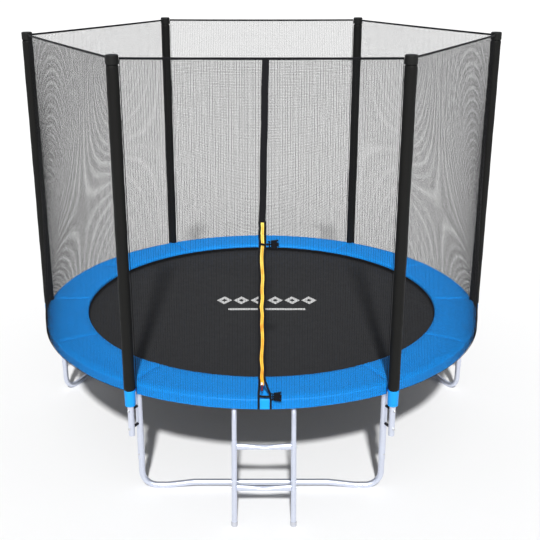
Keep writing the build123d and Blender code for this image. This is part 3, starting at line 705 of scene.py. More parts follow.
# ------------------------------------------------------ wire rings and springs
def wire_rings():
    """Bent-wire triangles, base in the hem and blunt tip towards the spring."""
    corners = np.array([[1306.0, -14.0], [1306.0, 14.0], [1337.0, 2.2], [1337.0, -2.2]])
    points = []
    for side in range(4):
        start, end = corners[side], corners[(side + 1) % 4]
        # the third side is the short tip
        for share in (0.2, 0.8) if side == 2 else (0.06, 0.3, 0.7, 0.94):
            points.append(start + (end - start) * share)
    path = np.concatenate([points, np.full((len(points), 1), RING_Z)], 1)
    bundle = Bundle()
    for degrees in SPRING_ANGLES:
        sweep(bundle, rotated(path, degrees), circle(2.1, 8), closed=True)
    place_on_mat(bundle.make("mat_wire_rings", GALVANISED), ["v_rings"])


def ring_tabs():
    """Webbing tabs that fold round the rings' bases, under and over the hem."""
    path = np.array([
        [1268, 0, 715.2], [1285, 0, 715.2], [1300, 0, 715.0], [1307.5, 0, 715.0],
        [1309.6, 0, 718.0], [1307.5, 0, 721.6], [1301.5, 0, 722.0], [1285, 0, 723.2],
        [1268, 0, 723.2]])
    bundle = Bundle()
    for degrees in SPRING_ANGLES:
        radial_tape(bundle, path, degrees, flat(24, 1.3))
    place_on_mat(bundle.make("mat_ring_tabs", HEM), [])


def springs():
    turns, steps = 29, 10
    coil_in, coil_out, coil_radius = 1352.0, 1468.0, 9.2
    phase = np.linspace(0, turns * 2 * math.pi, turns * steps + 1)
    end = phase[-1]
    # the coil narrows at both ends
    radius = coil_radius * np.clip(np.minimum(phase, end - phase) / 4.0 + 0.25, 0, 1) ** 0.8
    coil = np.stack([coil_in + (coil_out - coil_in) * phase / end, radius * np.cos(phase),
                     RING_Z + radius * np.sin(phase)], -1)
    inner_hook = [
        [1341.0, 0, 712.8], [1334.5, 0, 713.2], [1331.0, 0, 716.0], [1331.0, 0, 720.2],
        [1334.5, 0, 723.4], [1341.0, 0, 724.2], [1347.0, 0, 722.2]]
    outer_end = [[1472.0, 0, RING_Z], [1478.0, 0, RING_Z], [1493.0, 0, RING_Z]]
    path = np.concatenate([inner_hook, coil, outer_end])
    bundle = Bundle()
    for degrees in SPRING_ANGLES:
        sweep(bundle, rotated(path, degrees), circle(1.6, 5))
    place_on_mat(bundle.make("coil_springs", GALVANISED), ["springs"])


# ------------------------------------------------------------------------- pad
def pad_column_angles():
    """Columns round the pad in degrees, close together at the poles."""
    near = np.arange(-1.76, 1.761, 0.16)
    between = np.linspace(1.76, 58.24, 96)[1:-1]
    sector = np.concatenate([near, between])
    return np.concatenate([sector + angle for angle in (-120, -60, 0, 60, 120, 180)])


def pad_profile():
    """(radius, z) rows round the cover's section, and which rows are underside."""
    def corner(centre, angles):
        return [(centre + PAD_CORNER * math.cos(math.radians(angle)),
                 PAD_TOP - PAD_CORNER + PAD_CORNER * math.sin(math.radians(angle)))
                for angle in angles]

    rows = [(PAD_IN, z) for z in (745.6, 750.0, 755.5)]
    rows += corner(PAD_IN + PAD_CORNER, (150, 120, 95))
    rows += [(radius, PAD_TOP) for radius in np.linspace(PAD_IN + 18, PAD_OUT - 18, 20)]
    rows += corner(PAD_OUT - PAD_CORNER, (85, 60, 30))
    # skirt: down the outside, round its hem and up the inside
    rows += [(PAD_OUT, z) for z in (755.0, 749, 742, 735, 727, 719, 711, 704)]
    rows += [(PAD_OUT - 0.1, 700.6), (PAD_OUT - 0.9, 699.6), (PAD_OUT - 1.7, 700.6)]
    rows += [(PAD_OUT - 1.8, z) for z in (704, 719, 735)]
    vinyl_rows = len(rows)
    rows.append((PAD_OUT - 3.5, 744.6))
    rows += [(radius, 745.1) for radius in np.linspace(PAD_OUT - 30, PAD_IN + 14, 8)]
    rows.append((PAD_IN + 1.5, 745.1))
    return np.array(rows), np.arange(len(rows)) >= vinyl_rows


def from_pole(degrees):
    """Angle from the nearest pole."""
    return (degrees + 30) % 60 - 30


PAD_DEGREES = pad_column_angles()
PAD_ANGLES = np.radians(PAD_DEGREES)[:, None]
PROFILE, IS_UNDER = pad_profile()
COLUMNS, ROWS = len(PAD_DEGREES), len(PROFILE)
SKIRT_ROW = 6 + 20 + 3      # first profile row of the skirt
# 1 on each radial seam, at a pole or midway between two, and falling to 0 beside it
SEAM = np.maximum(np.exp(-(from_pole(PAD_DEGREES) / 0.35) ** 2),
                  np.exp(-(from_pole(PAD_DEGREES + 30) / 0.35) ** 2))


def pad_radii():
    """Profile radii at every column, drawn in to clear the poles."""
    relative = np.radians(from_pole(PAD_DEGREES))
    across = POLE_RADIUS * np.sin(relative)
    depth = np.sqrt(np.maximum(PAD_NOTCH ** 2 - across ** 2, 0))
    notch = np.where(np.abs(across) < PAD_NOTCH, POLE_RADIUS * np.cos(relative) - depth, 1e9)
    outline = np.minimum(PAD_OUT, notch)
    radii = np.tile(PROFILE[:, 0], (COLUMNS, 1))
    draw_from = 1500.0              # only what lies outside this radius moves
    share = np.clip((radii - draw_from) / (PAD_OUT - draw_from), 0, None)
    return np.where(radii > draw_from,
                    draw_from + share * (outline[:, None] - draw_from), radii)


def face_outward(mesh):
    """Flips every face if the closed mesh is inside out; the cloth pressure needs this."""
    edit = bmesh.new()
    edit.from_mesh(mesh)
    if edit.calc_volume(signed=True) < 0:
        bmesh.ops.reverse_faces(edit, faces=edit.faces)
        edit.to_mesh(mesh)
    edit.free()


def inflate(cover, pin):
    """Blows the cover out with a cloth simulation; returns its vertices in metres."""
    group = cover.vertex_groups.new(name="pin")
    levels = np.round(pin * 20) / 20
    for level in np.unique(levels):
        if level > 0:
            members = [int(i) for i in np.nonzero(levels == level)[0]]
            group.add(members, float(level), "REPLACE")
    cloth = cover.modifiers.new("Cloth", "CLOTH")
    settings = cloth.settings
    settings.quality = 5
    settings.mass = 0.25
    settings.tension_stiffness = settings.compression_stiffness = 12
    settings.shear_stiffness = 4
    settings.bending_stiffness = 0.4
    settings.tension_damping = settings.compression_damping = settings.shear_damping = 8
    settings.vertex_group_mass = "pin"
    settings.pin_stiffness = 1.0
    settings.use_pressure = True
    settings.uniform_pressure_force = 4.0
    settings.shrink_min = -0.025
    settings.effector_weights.gravity = 0
    cloth.collision_settings.use_collision = False
    cloth.collision_settings.use_self_collision = False
    scene = bpy.context.scene
    scene.frame_start, scene.frame_end = 1, 20
    cloth.point_cache.frame_start, cloth.point_cache.frame_end = 1, 20
    for frame in range(1, 15):
        scene.frame_set(frame)
    evaluated = cover.evaluated_get(bpy.context.evaluated_depsgraph_get())
    coords = np.zeros(COLUMNS * ROWS * 3, np.float32)
    evaluated.data.vertices.foreach_get("co", coords)
    cover.modifiers.clear()
    cover.vertex_groups.clear()
    scene.frame_set(1)
    return coords.reshape(COLUMNS, ROWS, 3).astype(float)


def capped(move):
    """Limits the cloth's movement, in metres, out of the profile, into it and along it."""
    out_cap, in_cap, along_cap = 0.0075, 0.0003, 0.0012
    slope = np.roll(PROFILE, -1, 0) - np.roll(PROFILE, 1, 0)
    normal = unit(np.stack([-slope[:, 1], slope[:, 0]], -1))
    # point the normals away from the middle of the section
    middle_radius, middle_z = (PAD_IN + PAD_OUT) / 2, 735.0
    normal *= np.sign(normal[:, 0] * (PROFILE[:, 0] - middle_radius) / 60
                      + normal[:, 1] * (PROFILE[:, 1] - middle_z) / 10)[:, None]
    outward = polar(normal[:, 0], PAD_ANGLES, normal[:, 1])
    out = (move * outward).sum(-1)
    along = move - out[..., None] * outward
    out = np.where(out > 0, out_cap * np.tanh(out / out_cap), in_cap * np.tanh(out / in_cap))
    length = np.linalg.norm(along, axis=-1)
    shrink = along_cap * np.tanh(length / along_cap) / np.maximum(length, 1e-9)
    return out[..., None] * outward + along * shrink[..., None]


def pad_cover():
    """Builds the cover and returns its finished vertices as columns x rows x 3."""
    row = np.arange(ROWS)
    heights = PROFILE[:, 1]
    grid = polar(pad_radii(), PAD_ANGLES, heights)
    quads = grid_quads(COLUMNS, ROWS, close_rows=True)
    under = np.tile(IS_UNDER & np.roll(IS_UNDER, -1), COLUMNS)
    cover = make_mesh("pad_cover_vinyl", grid.reshape(-1, 3), [quads[:, ::-1]],
                      [PAD_VINYL, UNDERSIDE], under.astype(int))
    face_outward(cover.data)

    # filled with soft foam: the cover is blown out a little between its seams
    row_pin = np.ones(ROWS)
    row_pin[(heights > 748) & (row < SKIRT_ROW)] = 0.0
    row_pin[:3] = (1.0, 0.9, 0.6)
    rest = grid * MM
    pin = np.maximum(row_pin[None, :], SEAM[:, None] * 0.97).ravel()
    move = (inflate(cover, pin) - rest) * (1 - row_pin)[None, :, None]
    grid = (rest + capped(move)) / MM
    radius = np.hypot(grid[..., 0], grid[..., 1])
    # stitched valley over each seam
    grid[..., 2] -= 1.1 * SEAM[:, None] * ((row < SKIRT_ROW) & (heights > 760))
    # the skirt hangs in shallow waves, always inward of its sewn edge
    on_skirt = (PROFILE[:, 0] > PAD_OUT - 2.5) & (heights < 753)
    hang = np.clip((752.0 - heights) / 52.0, 0, 1)
    wave = 0.5 + 0.5 * np.sin(PAD_ANGLES * 23 + 1.7 * np.sin(PAD_ANGLES * 7 + 0.6))
    inward = np.where(on_skirt, hang ** 1.3 * (0.5 + 3.4 * wave), 0)
    grid[..., :2] *= ((radius - inward) / radius)[..., None]
    cover.data.vertices.foreach_set("co", (grid * MM).astype(np.float32).ravel())
    cover.data.update()
    place_on_flap(cover, ["pad_cover", "skirt_flap", "pad_underside"])
    return grid


def pad_inner_shade_binding():
    # black binding round the pad's inner edge; its part hanging down towards the mat is a dark
    # sheet that stands in for the shade in the gap over the springs and rings (painted shade)
    # section: z, and offset from the binding's radius
    section_z = np.array([747.5, 748.4, 747.5, 738.0, 728.6, 727.6, 728.6, 738.0])
    section_r = np.array([0.0, -0.7, -1.5, -1.6, -1.4, -0.8, -0.1, 0.0])
    angles = np.radians(np.arange(0, 360, 1.0))[:, None]
    # only the hanging part waves
    wave = 0.5 * np.sin(angles * 31 + 0.8 * np.sin(angles * 9)) * (section_z < 745)
    verts = polar(PAD_IN + 1.2 + section_r + wave, angles, section_z)
    bundle = Bundle()
    bundle.add(verts.reshape(-1, 3), grid_quads(len(angles), 8, close_rows=True))
    place(bundle.make("pad_inner_shade_binding", WEBBING), [])


def pad_stitching(grid):
    def closed(columns):
        return np.concatenate([columns, columns[:1]])

    bundle = Bundle()
    stitches(bundle, closed(grid[:, 7]), (0, 0, 1), length=5.5, gap=2.5, radius=0.5)
    outward = closed(polar(1.0, PAD_ANGLES[:, 0], 0.0))
    for row in (SKIRT_ROW + 1, SKIRT_ROW + 7):
        stitches(bundle, closed(grid[:, row]), outward, length=5.5, gap=2.5, radius=0.45)
    # a row on each side of every radial seam
    for seam in range(12):
        away = np.abs(((PAD_DEGREES - (-120 + 30 * seam)) + 180) % 360 - 180)
        column = int(np.argmin(away))
        for side in (-1, 1):
            stitches(bundle, grid[(column + side) % COLUMNS, 6:SKIRT_ROW - 1], (0, 0, 1),
                     length=5.5, gap=2.5, radius=0.45)
    place_on_flap(bundle.make("pad_stitching", BLUE_THREAD), [])


def pad_ties():
    """Elastic ties from the pad's underside round the ring."""
    loop, top, bend = 22.2, 743.4, 730
    outer, inner = RING_RADIUS + loop, RING_RADIUS - loop
    angles = np.radians(np.linspace(0, -180, 13))
    arc = np.stack([RING_RADIUS + loop * np.cos(angles), np.zeros(13),
                    RING_Z + loop * np.sin(angles)], -1)
    path = np.concatenate([[[outer, 0, top], [outer, 0, bend]], arc,
                           [[inner, 0, bend], [inner, 0, top]]])
    bundle = Bundle()
    for i in range(12):
        radial_tape(bundle, path, 12 + 30 * i, flat(15, 1.8))
    place(bundle.make("pad_elastic_ties", WEBBING), ["pad_ties"])


# ------------------------------------------------------------------------- net
# The front side spans -120 to -60 degrees; the others are it, turned by 60 degrees each.
NET_START, NET_END = -120 + 1.45, -60 - 1.45
NET_HALF = POLE_RADIUS / 2 - 38.5       # half the length of a side's straight top
THREADS, COURSES = 210, 411
COURSE_Z = np.linspace(NET_BOTTOM + 1.5, NET_TOP + 2.0, COURSES)
THREAD_T = (np.arange(THREADS) + 0.5) / THREADS
THREAD_Z = np.concatenate([[NET_BOTTOM], np.linspace(716, 758, 4), [764, 768, 776],
                           np.linspace(900, NET_TOP + 2, 9)])
CUT_THREAD_Z = np.unique(np.concatenate([THREAD_Z, np.arange(705, 900, 12.0),
                                         np.linspace(900, 2677, 40)]))
THICK_THREAD, THIN_THREAD = circle(0.68, 6), circle(0.27, 4)
THICK_COURSE, THIN_COURSE = circle(0.56, 5), circle(0.54, 5)
THREAD_UP = (0.3, 0.2, 0.0)


def net_point(t, z):
    """Front side of the net: t runs from 0 at its left pole to 1 at its right pole."""
    t, z = np.broadcast_arrays(np.asarray(t, float), np.asarray(z, float))
    share = np.clip((z - NET_BEND) / (NET_TOP - NET_BEND), 0, 1)
    angle = np.radians(NET_START + (NET_END - NET_START) * t)
    top_x = -NET_HALF + 2 * NET_HALF * t
    x = NET_FOOT * np.cos(angle) * (1 - share) + top_x * share
    y = NET_FOOT * np.sin(angle) * (1 - share) - CHORD * share
    # the knitted sheet is never dead flat
    sag = np.sin(math.pi * t) * np.sin(math.pi * share)
    y = y + sag * 0.7 * np.sin(5.1 * t + 2.0 * share * 3.1 + 0.7)
    return np.stack([x, y, z], -1)


def net_t(x, z):
    """The t at which the front side of the net passes x at height z."""
    share = np.clip((z - NET_BEND) / (NET_TOP - NET_BEND), 0, 1)
    t = np.full(np.shape(z), 0.5)
    for _ in range(6):
        angle = np.radians(NET_START + (NET_END - NET_START) * t)
        x_here = (NET_FOOT * np.cos(angle) * (1 - share)
                  + (-NET_HALF + 2 * NET_HALF * t) * share)
        foot_slope = NET_FOOT * -np.sin(angle) * math.radians(NET_END - NET_START)
        t = t - (x_here - x) / (foot_slope * (1 - share) + 2 * NET_HALF * share)
    return t


def net_panel(bundle, side, seed, low=None, high=None):
    """Knits one side; low(z) and high(z) give the t range kept, else the whole side."""
    cut = low is not None or high is not None
    low, high = low or np.zeros_like, high or np.ones_like
    random = np.random.RandomState(seed)
    heights = CUT_THREAD_Z if cut else THREAD_Z
    for column, t in enumerate(THREAD_T + random.uniform(-0.00008, 0.00008, THREADS)):
        kept = np.nonzero((t < high(heights)) & (t > low(heights)))[0]
        for run in np.split(kept, np.nonzero(np.diff(kept) > 1)[0] + 1):
            if len(run) < 2:
                continue
            path = rotated(net_point(t, heights[run]), 60 * side)
            sweep(bundle, path, THIN_THREAD if column % 2 else THICK_THREAD, up=THREAD_UP)
    for row, z in enumerate(COURSE_Z + random.uniform(-0.06, 0.06, COURSES)):
        level = np.array([z])
        t = np.linspace(float(low(level)[0]), float(high(level)[0]), 9 if cut else 14)
        sweep(bundle, rotated(net_point(t, z), 60 * side),
              THIN_COURSE if row % 3 else THICK_COURSE)


def net_edge_cord(bundle, side, t):
    sweep(bundle, rotated(net_point(t, THREAD_Z), 60 * side), circle(1.9, 6), up=THREAD_UP)


def closed_net_sides():
    for side in range(1, 6):
        bundle = Bundle()
        net_panel(bundle, side, seed=40 + side)
        net_edge_cord(bundle, side, 0.0)
        net_edge_cord(bundle, side, 1.0)
        bottom = net_point(np.linspace(0, 1, 30), NET_BOTTOM + 0.5)
        sweep(bundle, rotated(bottom, 60 * side), circle(1.3, 6))
        name = SIDES[side]
        place(bundle.make("net_mesh_" + name, NET_THREAD), ["net_" + name])


def zip_x(z):
    """Middle of the entrance strip: the zip, and the centre strip above it."""
    z = np.asarray(z, float)
    return np.where(z >= ZIP_TOP, 4.0 + 17.0 * (z - ZIP_TOP) / (NET_TOP - ZIP_TOP),
                    2.0 + 2.0 * (z - ZIP_BOTTOM) / (ZIP_TOP - ZIP_BOTTOM))


def strip_wave(z, amplitude=3.2):
    """Sideways waver of the entrance strip's parts."""
    z = np.asarray(z, float)
    envelope = smooth01((z - 800) / 120.0) * smooth01((1806 - z) / 60.0)
    return envelope * amplitude * (0.62 * np.sin(z / 21.5 + 1.3 * np.sin(z / 71.0))
                                   + 0.5 * np.sin(z / 47.0 + 2.0))


TAIL_TOP = 885.0            # below this the bindings leave the zip's sides


def left_edge(z):
    """x of the left binding's middle."""
    upper = zip_x(z) - STRIP_HALF + BINDING / 2
    tail = np.interp(z, [800, TAIL_TOP], [-17.0, float(zip_x(TAIL_TOP)) - 15])
    return np.where(z < TAIL_TOP, tail, upper) + strip_wave(z)


def right_edge(z):
    """x of the right binding's middle."""
    upper = zip_x(z) + STRIP_HALF - BINDING / 2
    tail = np.interp(z, [762, 800, 850, TAIL_TOP],
                     [53.0, 50.0, 30.0, float(zip_x(TAIL_TOP)) + 15])
    return np.where(z < TAIL_TOP, tail, upper) + strip_wave(z, 2.6)


def left_limit(z):
    """t where the left half of the front side ends."""
    return net_t(np.where(z > ZIP_TOP, zip_x(z) - STRIP_HALF + 1, left_edge(z)), z)


def right_limit(z):
    """t where the right half of the front side begins."""
    return net_t(np.where(z > ZIP_TOP, zip_x(z) + STRIP_HALF - 1, right_edge(z)), z)


def net_door():
    bundle = Bundle()
    net_panel(bundle, 0, seed=51, high=left_limit)
    net_edge_cord(bundle, 0, 0.0)
    place_on_flap(bundle.make("net_mesh_door_left", NET_THREAD),
                  ["net_door_left", "net_tail_front"])
    bundle = Bundle()
    net_panel(bundle, 0, seed=52, low=right_limit)
    net_edge_cord(bundle, 0, 1.0)
    place_on_flap(bundle.make("net_mesh_door_right", NET_THREAD),
                  ["net_door_right"])


def net_top_band():
    """Top webbing, one length between each pair of poles, dipping in the middle."""
    end_z, dip = 2684.2, 1.6
    x = np.linspace(-NET_HALF - 1, NET_HALF + 1, 40)
    path = np.stack([x, np.full(40, -CHORD), end_z - dip * (1 - (x / NET_HALF) ** 2)], -1)
    bundle = Bundle()
    for side in range(6):
        sweep(bundle, rotated(path, 60 * side), flat(13.5, 4.6)[:, ::-1])
    place(bundle.make("net_top_band", WEBBING), ["net_top_webbing"])


# -------------------------------------------------------------- entrance strip
STRIP_OUT = (0, -1, 0.1)


def net_y(z):
    z = np.asarray(z, float)
    return -np.where(z > NET_BEND, CHORD + NET_SLOPE * (NET_TOP - z), NET_FOOT)


def on_net(x, z, lift):
    """Points on the middle of the front side, lifted outward off the net."""
    lean = smooth01((z - NET_BEND) / 6.0)
    out_y, out_z = -(lean / NET_SLANT + (1 - lean)), lean * NET_SLOPE / NET_SLANT
    return np.stack([x, net_y(z) + out_y * lift, z + out_z * lift], -1)


def ribbon(bundle, x, z, lift, width, thickness):
    sweep(bundle, on_net(x, z, lift), flat(width, thickness), up=STRIP_OUT)


def strip_stitches(bundle, x, z, lift):
    stitches(bundle, on_net(x, z, lift), STRIP_OUT, length=4.5, gap=2.0, radius=0.35)


def door_bindings():
    z = np.linspace(703.0, ZIP_TOP + 6, 190)
    tapes, seams = Bundle(), Bundle()
    for edge in (left_edge, right_edge):
        ribbon(tapes, edge(z), z, lift=0.35, width=13.2, thickness=2.6)
        strip_stitches(seams, edge(z), z, lift=1.4)
    place_on_flap(tapes.make("door_edge_bindings", WEBBING),
                  ["door_bindings", "door_binding_tails"])
    place_on_flap(seams.make("door_edge_stitching", DARK_THREAD), [])


def centre_strip():
    """Plain webbing from the top of the zip to the top of the net."""
    z = np.linspace(ZIP_TOP - 2, NET_TOP, 120)
    x = zip_x(z) + 0.9 * np.sin(z / 60.0)
    tapes, seams = Bundle(), Bundle()
    ribbon(tapes, x, z, lift=0.0, width=2 * STRIP_HALF, thickness=2.6)
    for offset in (-15.5, 15.5):
        strip_stitches(seams, x + offset, z, lift=1.35)
    place(tapes.make("net_centre_strip", WEBBING), ["net_centre_band"])
    place(seams.make("centre_strip_stitching", DARK_THREAD), [])


def zip_parts():
    z = np.linspace(ZIP_BOTTOM, ZIP_TOP + 2, 200)
    bundle = Bundle()
    ribbon(bundle, zip_x(z) + strip_wave(z), z, lift=0.05 + 0.2 * np.sin(z / 26.0),
           width=20.4, thickness=1.3)
    place(bundle.make("zip_yellow_tape", ZIP_TAPE), ["zip_tape"])

    turns, steps = 300, 8
    start, end = ZIP_BOTTOM + 4, ZIP_TOP - 8
    phase = np.linspace(0, turns * 2 * math.pi, turns * steps + 1)
    z = start + (end - start) * phase / phase[-1]
    x = zip_x(z) + strip_wave(z, 1.0) + 2.0 * np.cos(phase)
    bundle = Bundle()
    sweep(bundle, on_net(x, z, 2.0 + 0.75 * np.sin(phase)), circle(0.42, 5), up=STRIP_OUT)
    place(bundle.make("zip_nylon_coil", ZIP_COIL), ["zip_coil"])


# -------------------------------------------------------------- buckle webbing
# name, z, x of the buckle, x where the plug's strap starts
BUCKLES = (
    ("lower", 790.0, 92.0, -21.0),
    ("upper", 1683.0, 72.0, float(zip_x(1683.0)) - STRIP_HALF),
)


def strap(bundle, z, points, width):
    """Sweeps webbing along (x, distance off the net) points; its width runs up the net."""
    points = np.asarray(points, float)
    distance = np.concatenate([[0], np.cumsum(np.hypot(*np.diff(points, axis=0).T))])
    places = np.linspace(0, distance[-1], 44)

    def softened(values):
        values = np.pad(np.interp(places, distance, values), 2, mode="edge")
        return np.convolve(values, np.ones(5) / 5, "valid")[:, None]

    origin = np.array([0.0, float(net_y(z)), z])
    path = (origin + softened(points[:, 0]) * np.array([1, 0, 0])
            + softened(points[:, 1]) * NET_OUT)
    tangents = unit(np.gradient(path, axis=0))
    sweep(bundle, path, flat(width, 1.5), up=np.cross(NET_UP, tangents))


def plug_straps():
    """Two layers of webbing from the strip to the bar of each buckle's plug."""
    for name, z, buckle, start in BUCKLES:
        bar = buckle - 33 - 3.4
        bundle = Bundle()
        strap(bundle, z, [
            (start, 2.0), (start + 14, 2.2), (start + 22, 8.5), (start + 30, 12.0),
            (bar - 6, 12.0), (bar - 1.5, 15.2), (bar + 2.5, 15.2), (bar + 3.6, 13.0)], 12.0)
        strap(bundle, z, [
            (start + 1, 3.8), (start + 14, 4.0), (start + 24, 9.8), (bar - 12, 10.2),
            (bar - 2, 9.2), (bar + 2.2, 9.4), (bar + 3.4, 11.2)], 12.0)
        fixed, free = start + 16, bar - 8
        place_between(bundle.make("buckle_webbing_" + name, WEBBING),
                      lambda points: smooth01((points[:, 0] - fixed) / (free - fixed)),
                      ["buckle_strap_" + name])


def anchor_straps():
    # loop beside the buckle: x from the buckle, distance off the net
    loop = (
        (-11, 2.1), (8, 2.1), (14.8, 2.6), (16, 6.0), (16, 16.0), (16.4, 20.2),
        (20, 20.8), (22.6, 18.0), (22.8, 8.0), (20.0, 4.2), (8, 3.7), (-9, 3.7))
    bundle = Bundle()
    for _, z, buckle, _ in BUCKLES:
        strap(bundle, z, [(buckle + x, lift) for x, lift in loop], 22.0)
    place(bundle.make("buckle_anchor_webbing", WEBBING), ["buckle_anchor_straps"])


# -------------------------------------------------------- pole sleeves, cuffs
FOAM_LOW, FOAM_HIGH = 728.0, 2654.0
CUFF_LOW, CUFF_HIGH = 624.0, 727.5


def at_pole(points, pole):
    return rotated(points + np.array([POLE_RADIUS, 0, 0]), POLE_ANGLES[pole])


def sleeve(bundle, pole, low, high, rows, columns, outline, bore):
    """Closed tube round a pole; outline(angles, z) gives its outer radius."""
    z = np.linspace(low, high, rows)
    angles = np.arange(columns) * 2 * math.pi / columns
    z_grid, angle_grid = np.meshgrid(z, angles, indexing="ij")
    outer = polar(outline(angle_grid, z_grid), angle_grid, z_grid).reshape(-1, 3)
    inner = [polar(bore, angles, level) for level in (high, (low + high) / 2, low)]
    bundle.add(at_pole(np.concatenate([outer] + inner), pole),
               grid_quads(rows + 3, columns, close_rows=True))


def pole_sleeves():
    bundle = Bundle()
    for pole in range(6):
        phase = np.random.RandomState(70 + pole).uniform(0, 6.28, 8)

        def outline(angle, z):
            def near_ends(reach):
                return np.exp(-(z - FOAM_LOW) / reach) + np.exp(-(FOAM_HIGH - z) / reach)

            radius = 34.7 + 0.45 * np.sin(z / 83.0 + phase[0] + 0.8 * np.cos(angle + phase[1]))
            radius += 0.35 * np.sin(z / 31.0 + 2 * angle + phase[2])
            # creases where the sleeve bunches at its ends, and rounded rims
            radius += near_ends(45.0) * 0.8 * np.sin(9 * angle + phase[3] + z / 19.0)
            radius -= 5.5 * near_ends(4.0)
            # lengthwise seam on the inner side, with a groove along it
            away = np.abs(((angle - 2.5 + math.pi) % TURN) - math.pi)
            return (radius + 1.1 * np.exp(-(away / 0.05) ** 2)
                    - 0.7 * np.exp(-((away - 0.14) / 0.06) ** 2))

        sleeve(bundle, pole, FOAM_LOW, FOAM_HIGH, rows=190, columns=72, outline=outline,
               bore=19.25)
    place(bundle.make("pole_sleeve_covers", SLEEVE), ["pole_foam_sleeves"])


def pole_cuffs():
    cuffs, seams = Bundle(), Bundle()
    for pole in range(6):
        phase = np.random.RandomState(90 + pole).uniform(0, 6.28, 4)

        def outline(angle, z):
            down = np.clip((CUFF_HIGH - z) / (CUFF_HIGH - CUFF_LOW), 0, 1)
            radius = 34.0 - 2.2 * down + 0.25 * np.sin(z / 12.0)
            folds = (0.55 * np.sin(11 * angle + phase[0] + 0.6 * np.sin(z / 22.0))
                     + 0.45 * np.sin(7 * angle + phase[1] + z / 40.0))
            radius += (0.15 + 1.5 * down ** 1.5) * folds
            # drawn in by its hem elastic, then at both rims
            radius -= 3.4 * np.exp(-((z - 634.0) / 3.2) ** 2)
            return (radius - 3.0 * np.exp(-(CUFF_HIGH - z) / 2.0)
                    - 2.4 * np.exp(-(z - CUFF_LOW) / 1.8))

        sleeve(cuffs, pole, CUFF_LOW, CUFF_HIGH, rows=60, columns=96, outline=outline,
               bore=19.3)
        angles = np.linspace(0, TURN, 120)
        outward = rotated(polar(1.0, angles, 0.0), POLE_ANGLES[pole])
        for z in (640.5, 720.0):
            seam = polar(outline(angles, np.full(120, z)) + 0.1, angles, z)
            stitches(seams, at_pole(seam, pole), outward, length=4.0, gap=2.0, radius=0.35)
    place(cuffs.make("pole_vinyl_cuffs", CUFF_VINYL), ["pole_cuffs"])
    place(seams.make("cuff_stitching", BLUE_THREAD), [])


# --------------------------------------------------------------- ladder treads
LADDER_X, LADDER_HALF = 14.0, 175.0
HOOK_RADIUS = 1495.6            # distance of the ring's centre line at the hooks
FOOT_OUT = 1700.0 - HOOK_RADIUS
LADDER_OFFSET = 22.6 + 3.5 + 14.0       # from the ring's centre line to the ladder's
LEAN = (math.atan2(FOOT_OUT, RING_Z)
        - math.asin(LADDER_OFFSET / math.hypot(FOOT_OUT, RING_Z)))
LEAN_SIN, LEAN_COS = math.sin(LEAN), math.cos(LEAN)


def ladder_tread(level, z):
    stations, inset = 90, 14.0
    half_depth, half_height = 14.3, 19.8
    roundness = 2 / 2.3         # exponent of the superellipse section
    reach = LADDER_HALF - inset
    x = np.linspace(LADDER_X - reach, LADDER_X + reach, stations)
    across = ((x - LADDER_X) / LADDER_HALF)[:, None]
    dip = 9.0 * np.exp(-(across / 0.55) ** 2)
    hollow = np.exp(-(across / 0.34) ** 2)
    c, s = circle(1.0, 40).T
    depth = half_depth * np.sign(c) * np.abs(c) ** roundness
    height = (half_height - 0.65 * dip) * np.sign(s) * np.abs(s) ** roundness - 0.35 * dip
    # hollow pressed into the front of the top face, between two lens-shaped shoulders
    front = np.clip((depth + 4) / 14, 0, 1) * np.clip((height + 4) / 12, 0, 1)
    section = np.stack([depth - 5.0 * hollow * front, height - 2.5 * hollow * front], -1)

    down = (RING_Z + LADDER_OFFSET * LEAN_SIN - z) / LEAN_COS   # distance down the stiles
    y = -(HOOK_RADIUS + LADDER_OFFSET * LEAN_COS + down * LEAN_SIN)
    path = np.stack([x, np.full(stations, y), np.full(stations, z)], -1)
    bundle = Bundle()
    sweep(bundle, path, section, up=(0, LEAN_SIN, LEAN_COS))
    place(bundle.make("ladder_tread_" + level, GALVANISED), ["ladder_rung_" + level],
          body="ladder")


def finish_meshes():
    for obj in list(bpy.context.scene.objects):
        # the net is too open to throw a readable shadow
        if obj.name.startswith("net_mesh_"):
            obj.visible_shadow = False
        if obj.type == "MESH" and "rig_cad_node" not in obj:
            edit = bmesh.new()
            edit.from_mesh(obj.data)
            bmesh.ops.recalc_face_normals(edit, faces=edit.faces)
            edit.to_mesh(obj.data)
            edit.free()


# --------------------------------------------------------------- studio, light
def studio_floor():
    """White floor that glows faintly away from the trampoline; sizes in metres."""
    half = 60.0
    mesh = bpy.data.meshes.new("floor")
    mesh.from_pydata([(-half, -half, 0), (half, -half, 0), (half, half, 0), (-half, half, 0)],
                     [], [(0, 1, 2, 3)])
    floor = bpy.data.objects.new("floor", mesh)
    bpy.context.scene.collection.objects.link(floor)
    material = bpy.data.materials.new("floor_white")
    material.use_nodes = True
    nodes, links = material.node_tree.nodes, material.node_tree.links
    shader = nodes["Principled BSDF"].inputs
    shader["Base Color"].default_value = (0.90, 0.90, 0.90, 1)
    shader["Roughness"].default_value = 0.9
    shader["Specular IOR Level"].default_value = 0.1
    shader["Emission Color"].default_value = (1, 1, 1, 1)
    coords = nodes.new("ShaderNodeTexCoord")
    distance = nodes.new("ShaderNodeVectorMath")
    distance.operation = "LENGTH"
    links.new(coords.outputs["Object"], distance.inputs[0])
    glow = nodes.new("ShaderNodeMapRange")
    links.new(distance.outputs["Value"], glow.inputs["Value"])
    glow_range = {"From Min": 2.6, "From Max": 7.0, "To Min": 0.0, "To Max": 0.12}
    for key, value in glow_range.items():
        glow.inputs[key].default_value = value
    links.new(glow.outputs["Result"], shader["Emission Strength"])
    mesh.materials.append(material)
    floor.location.z = -0.0004


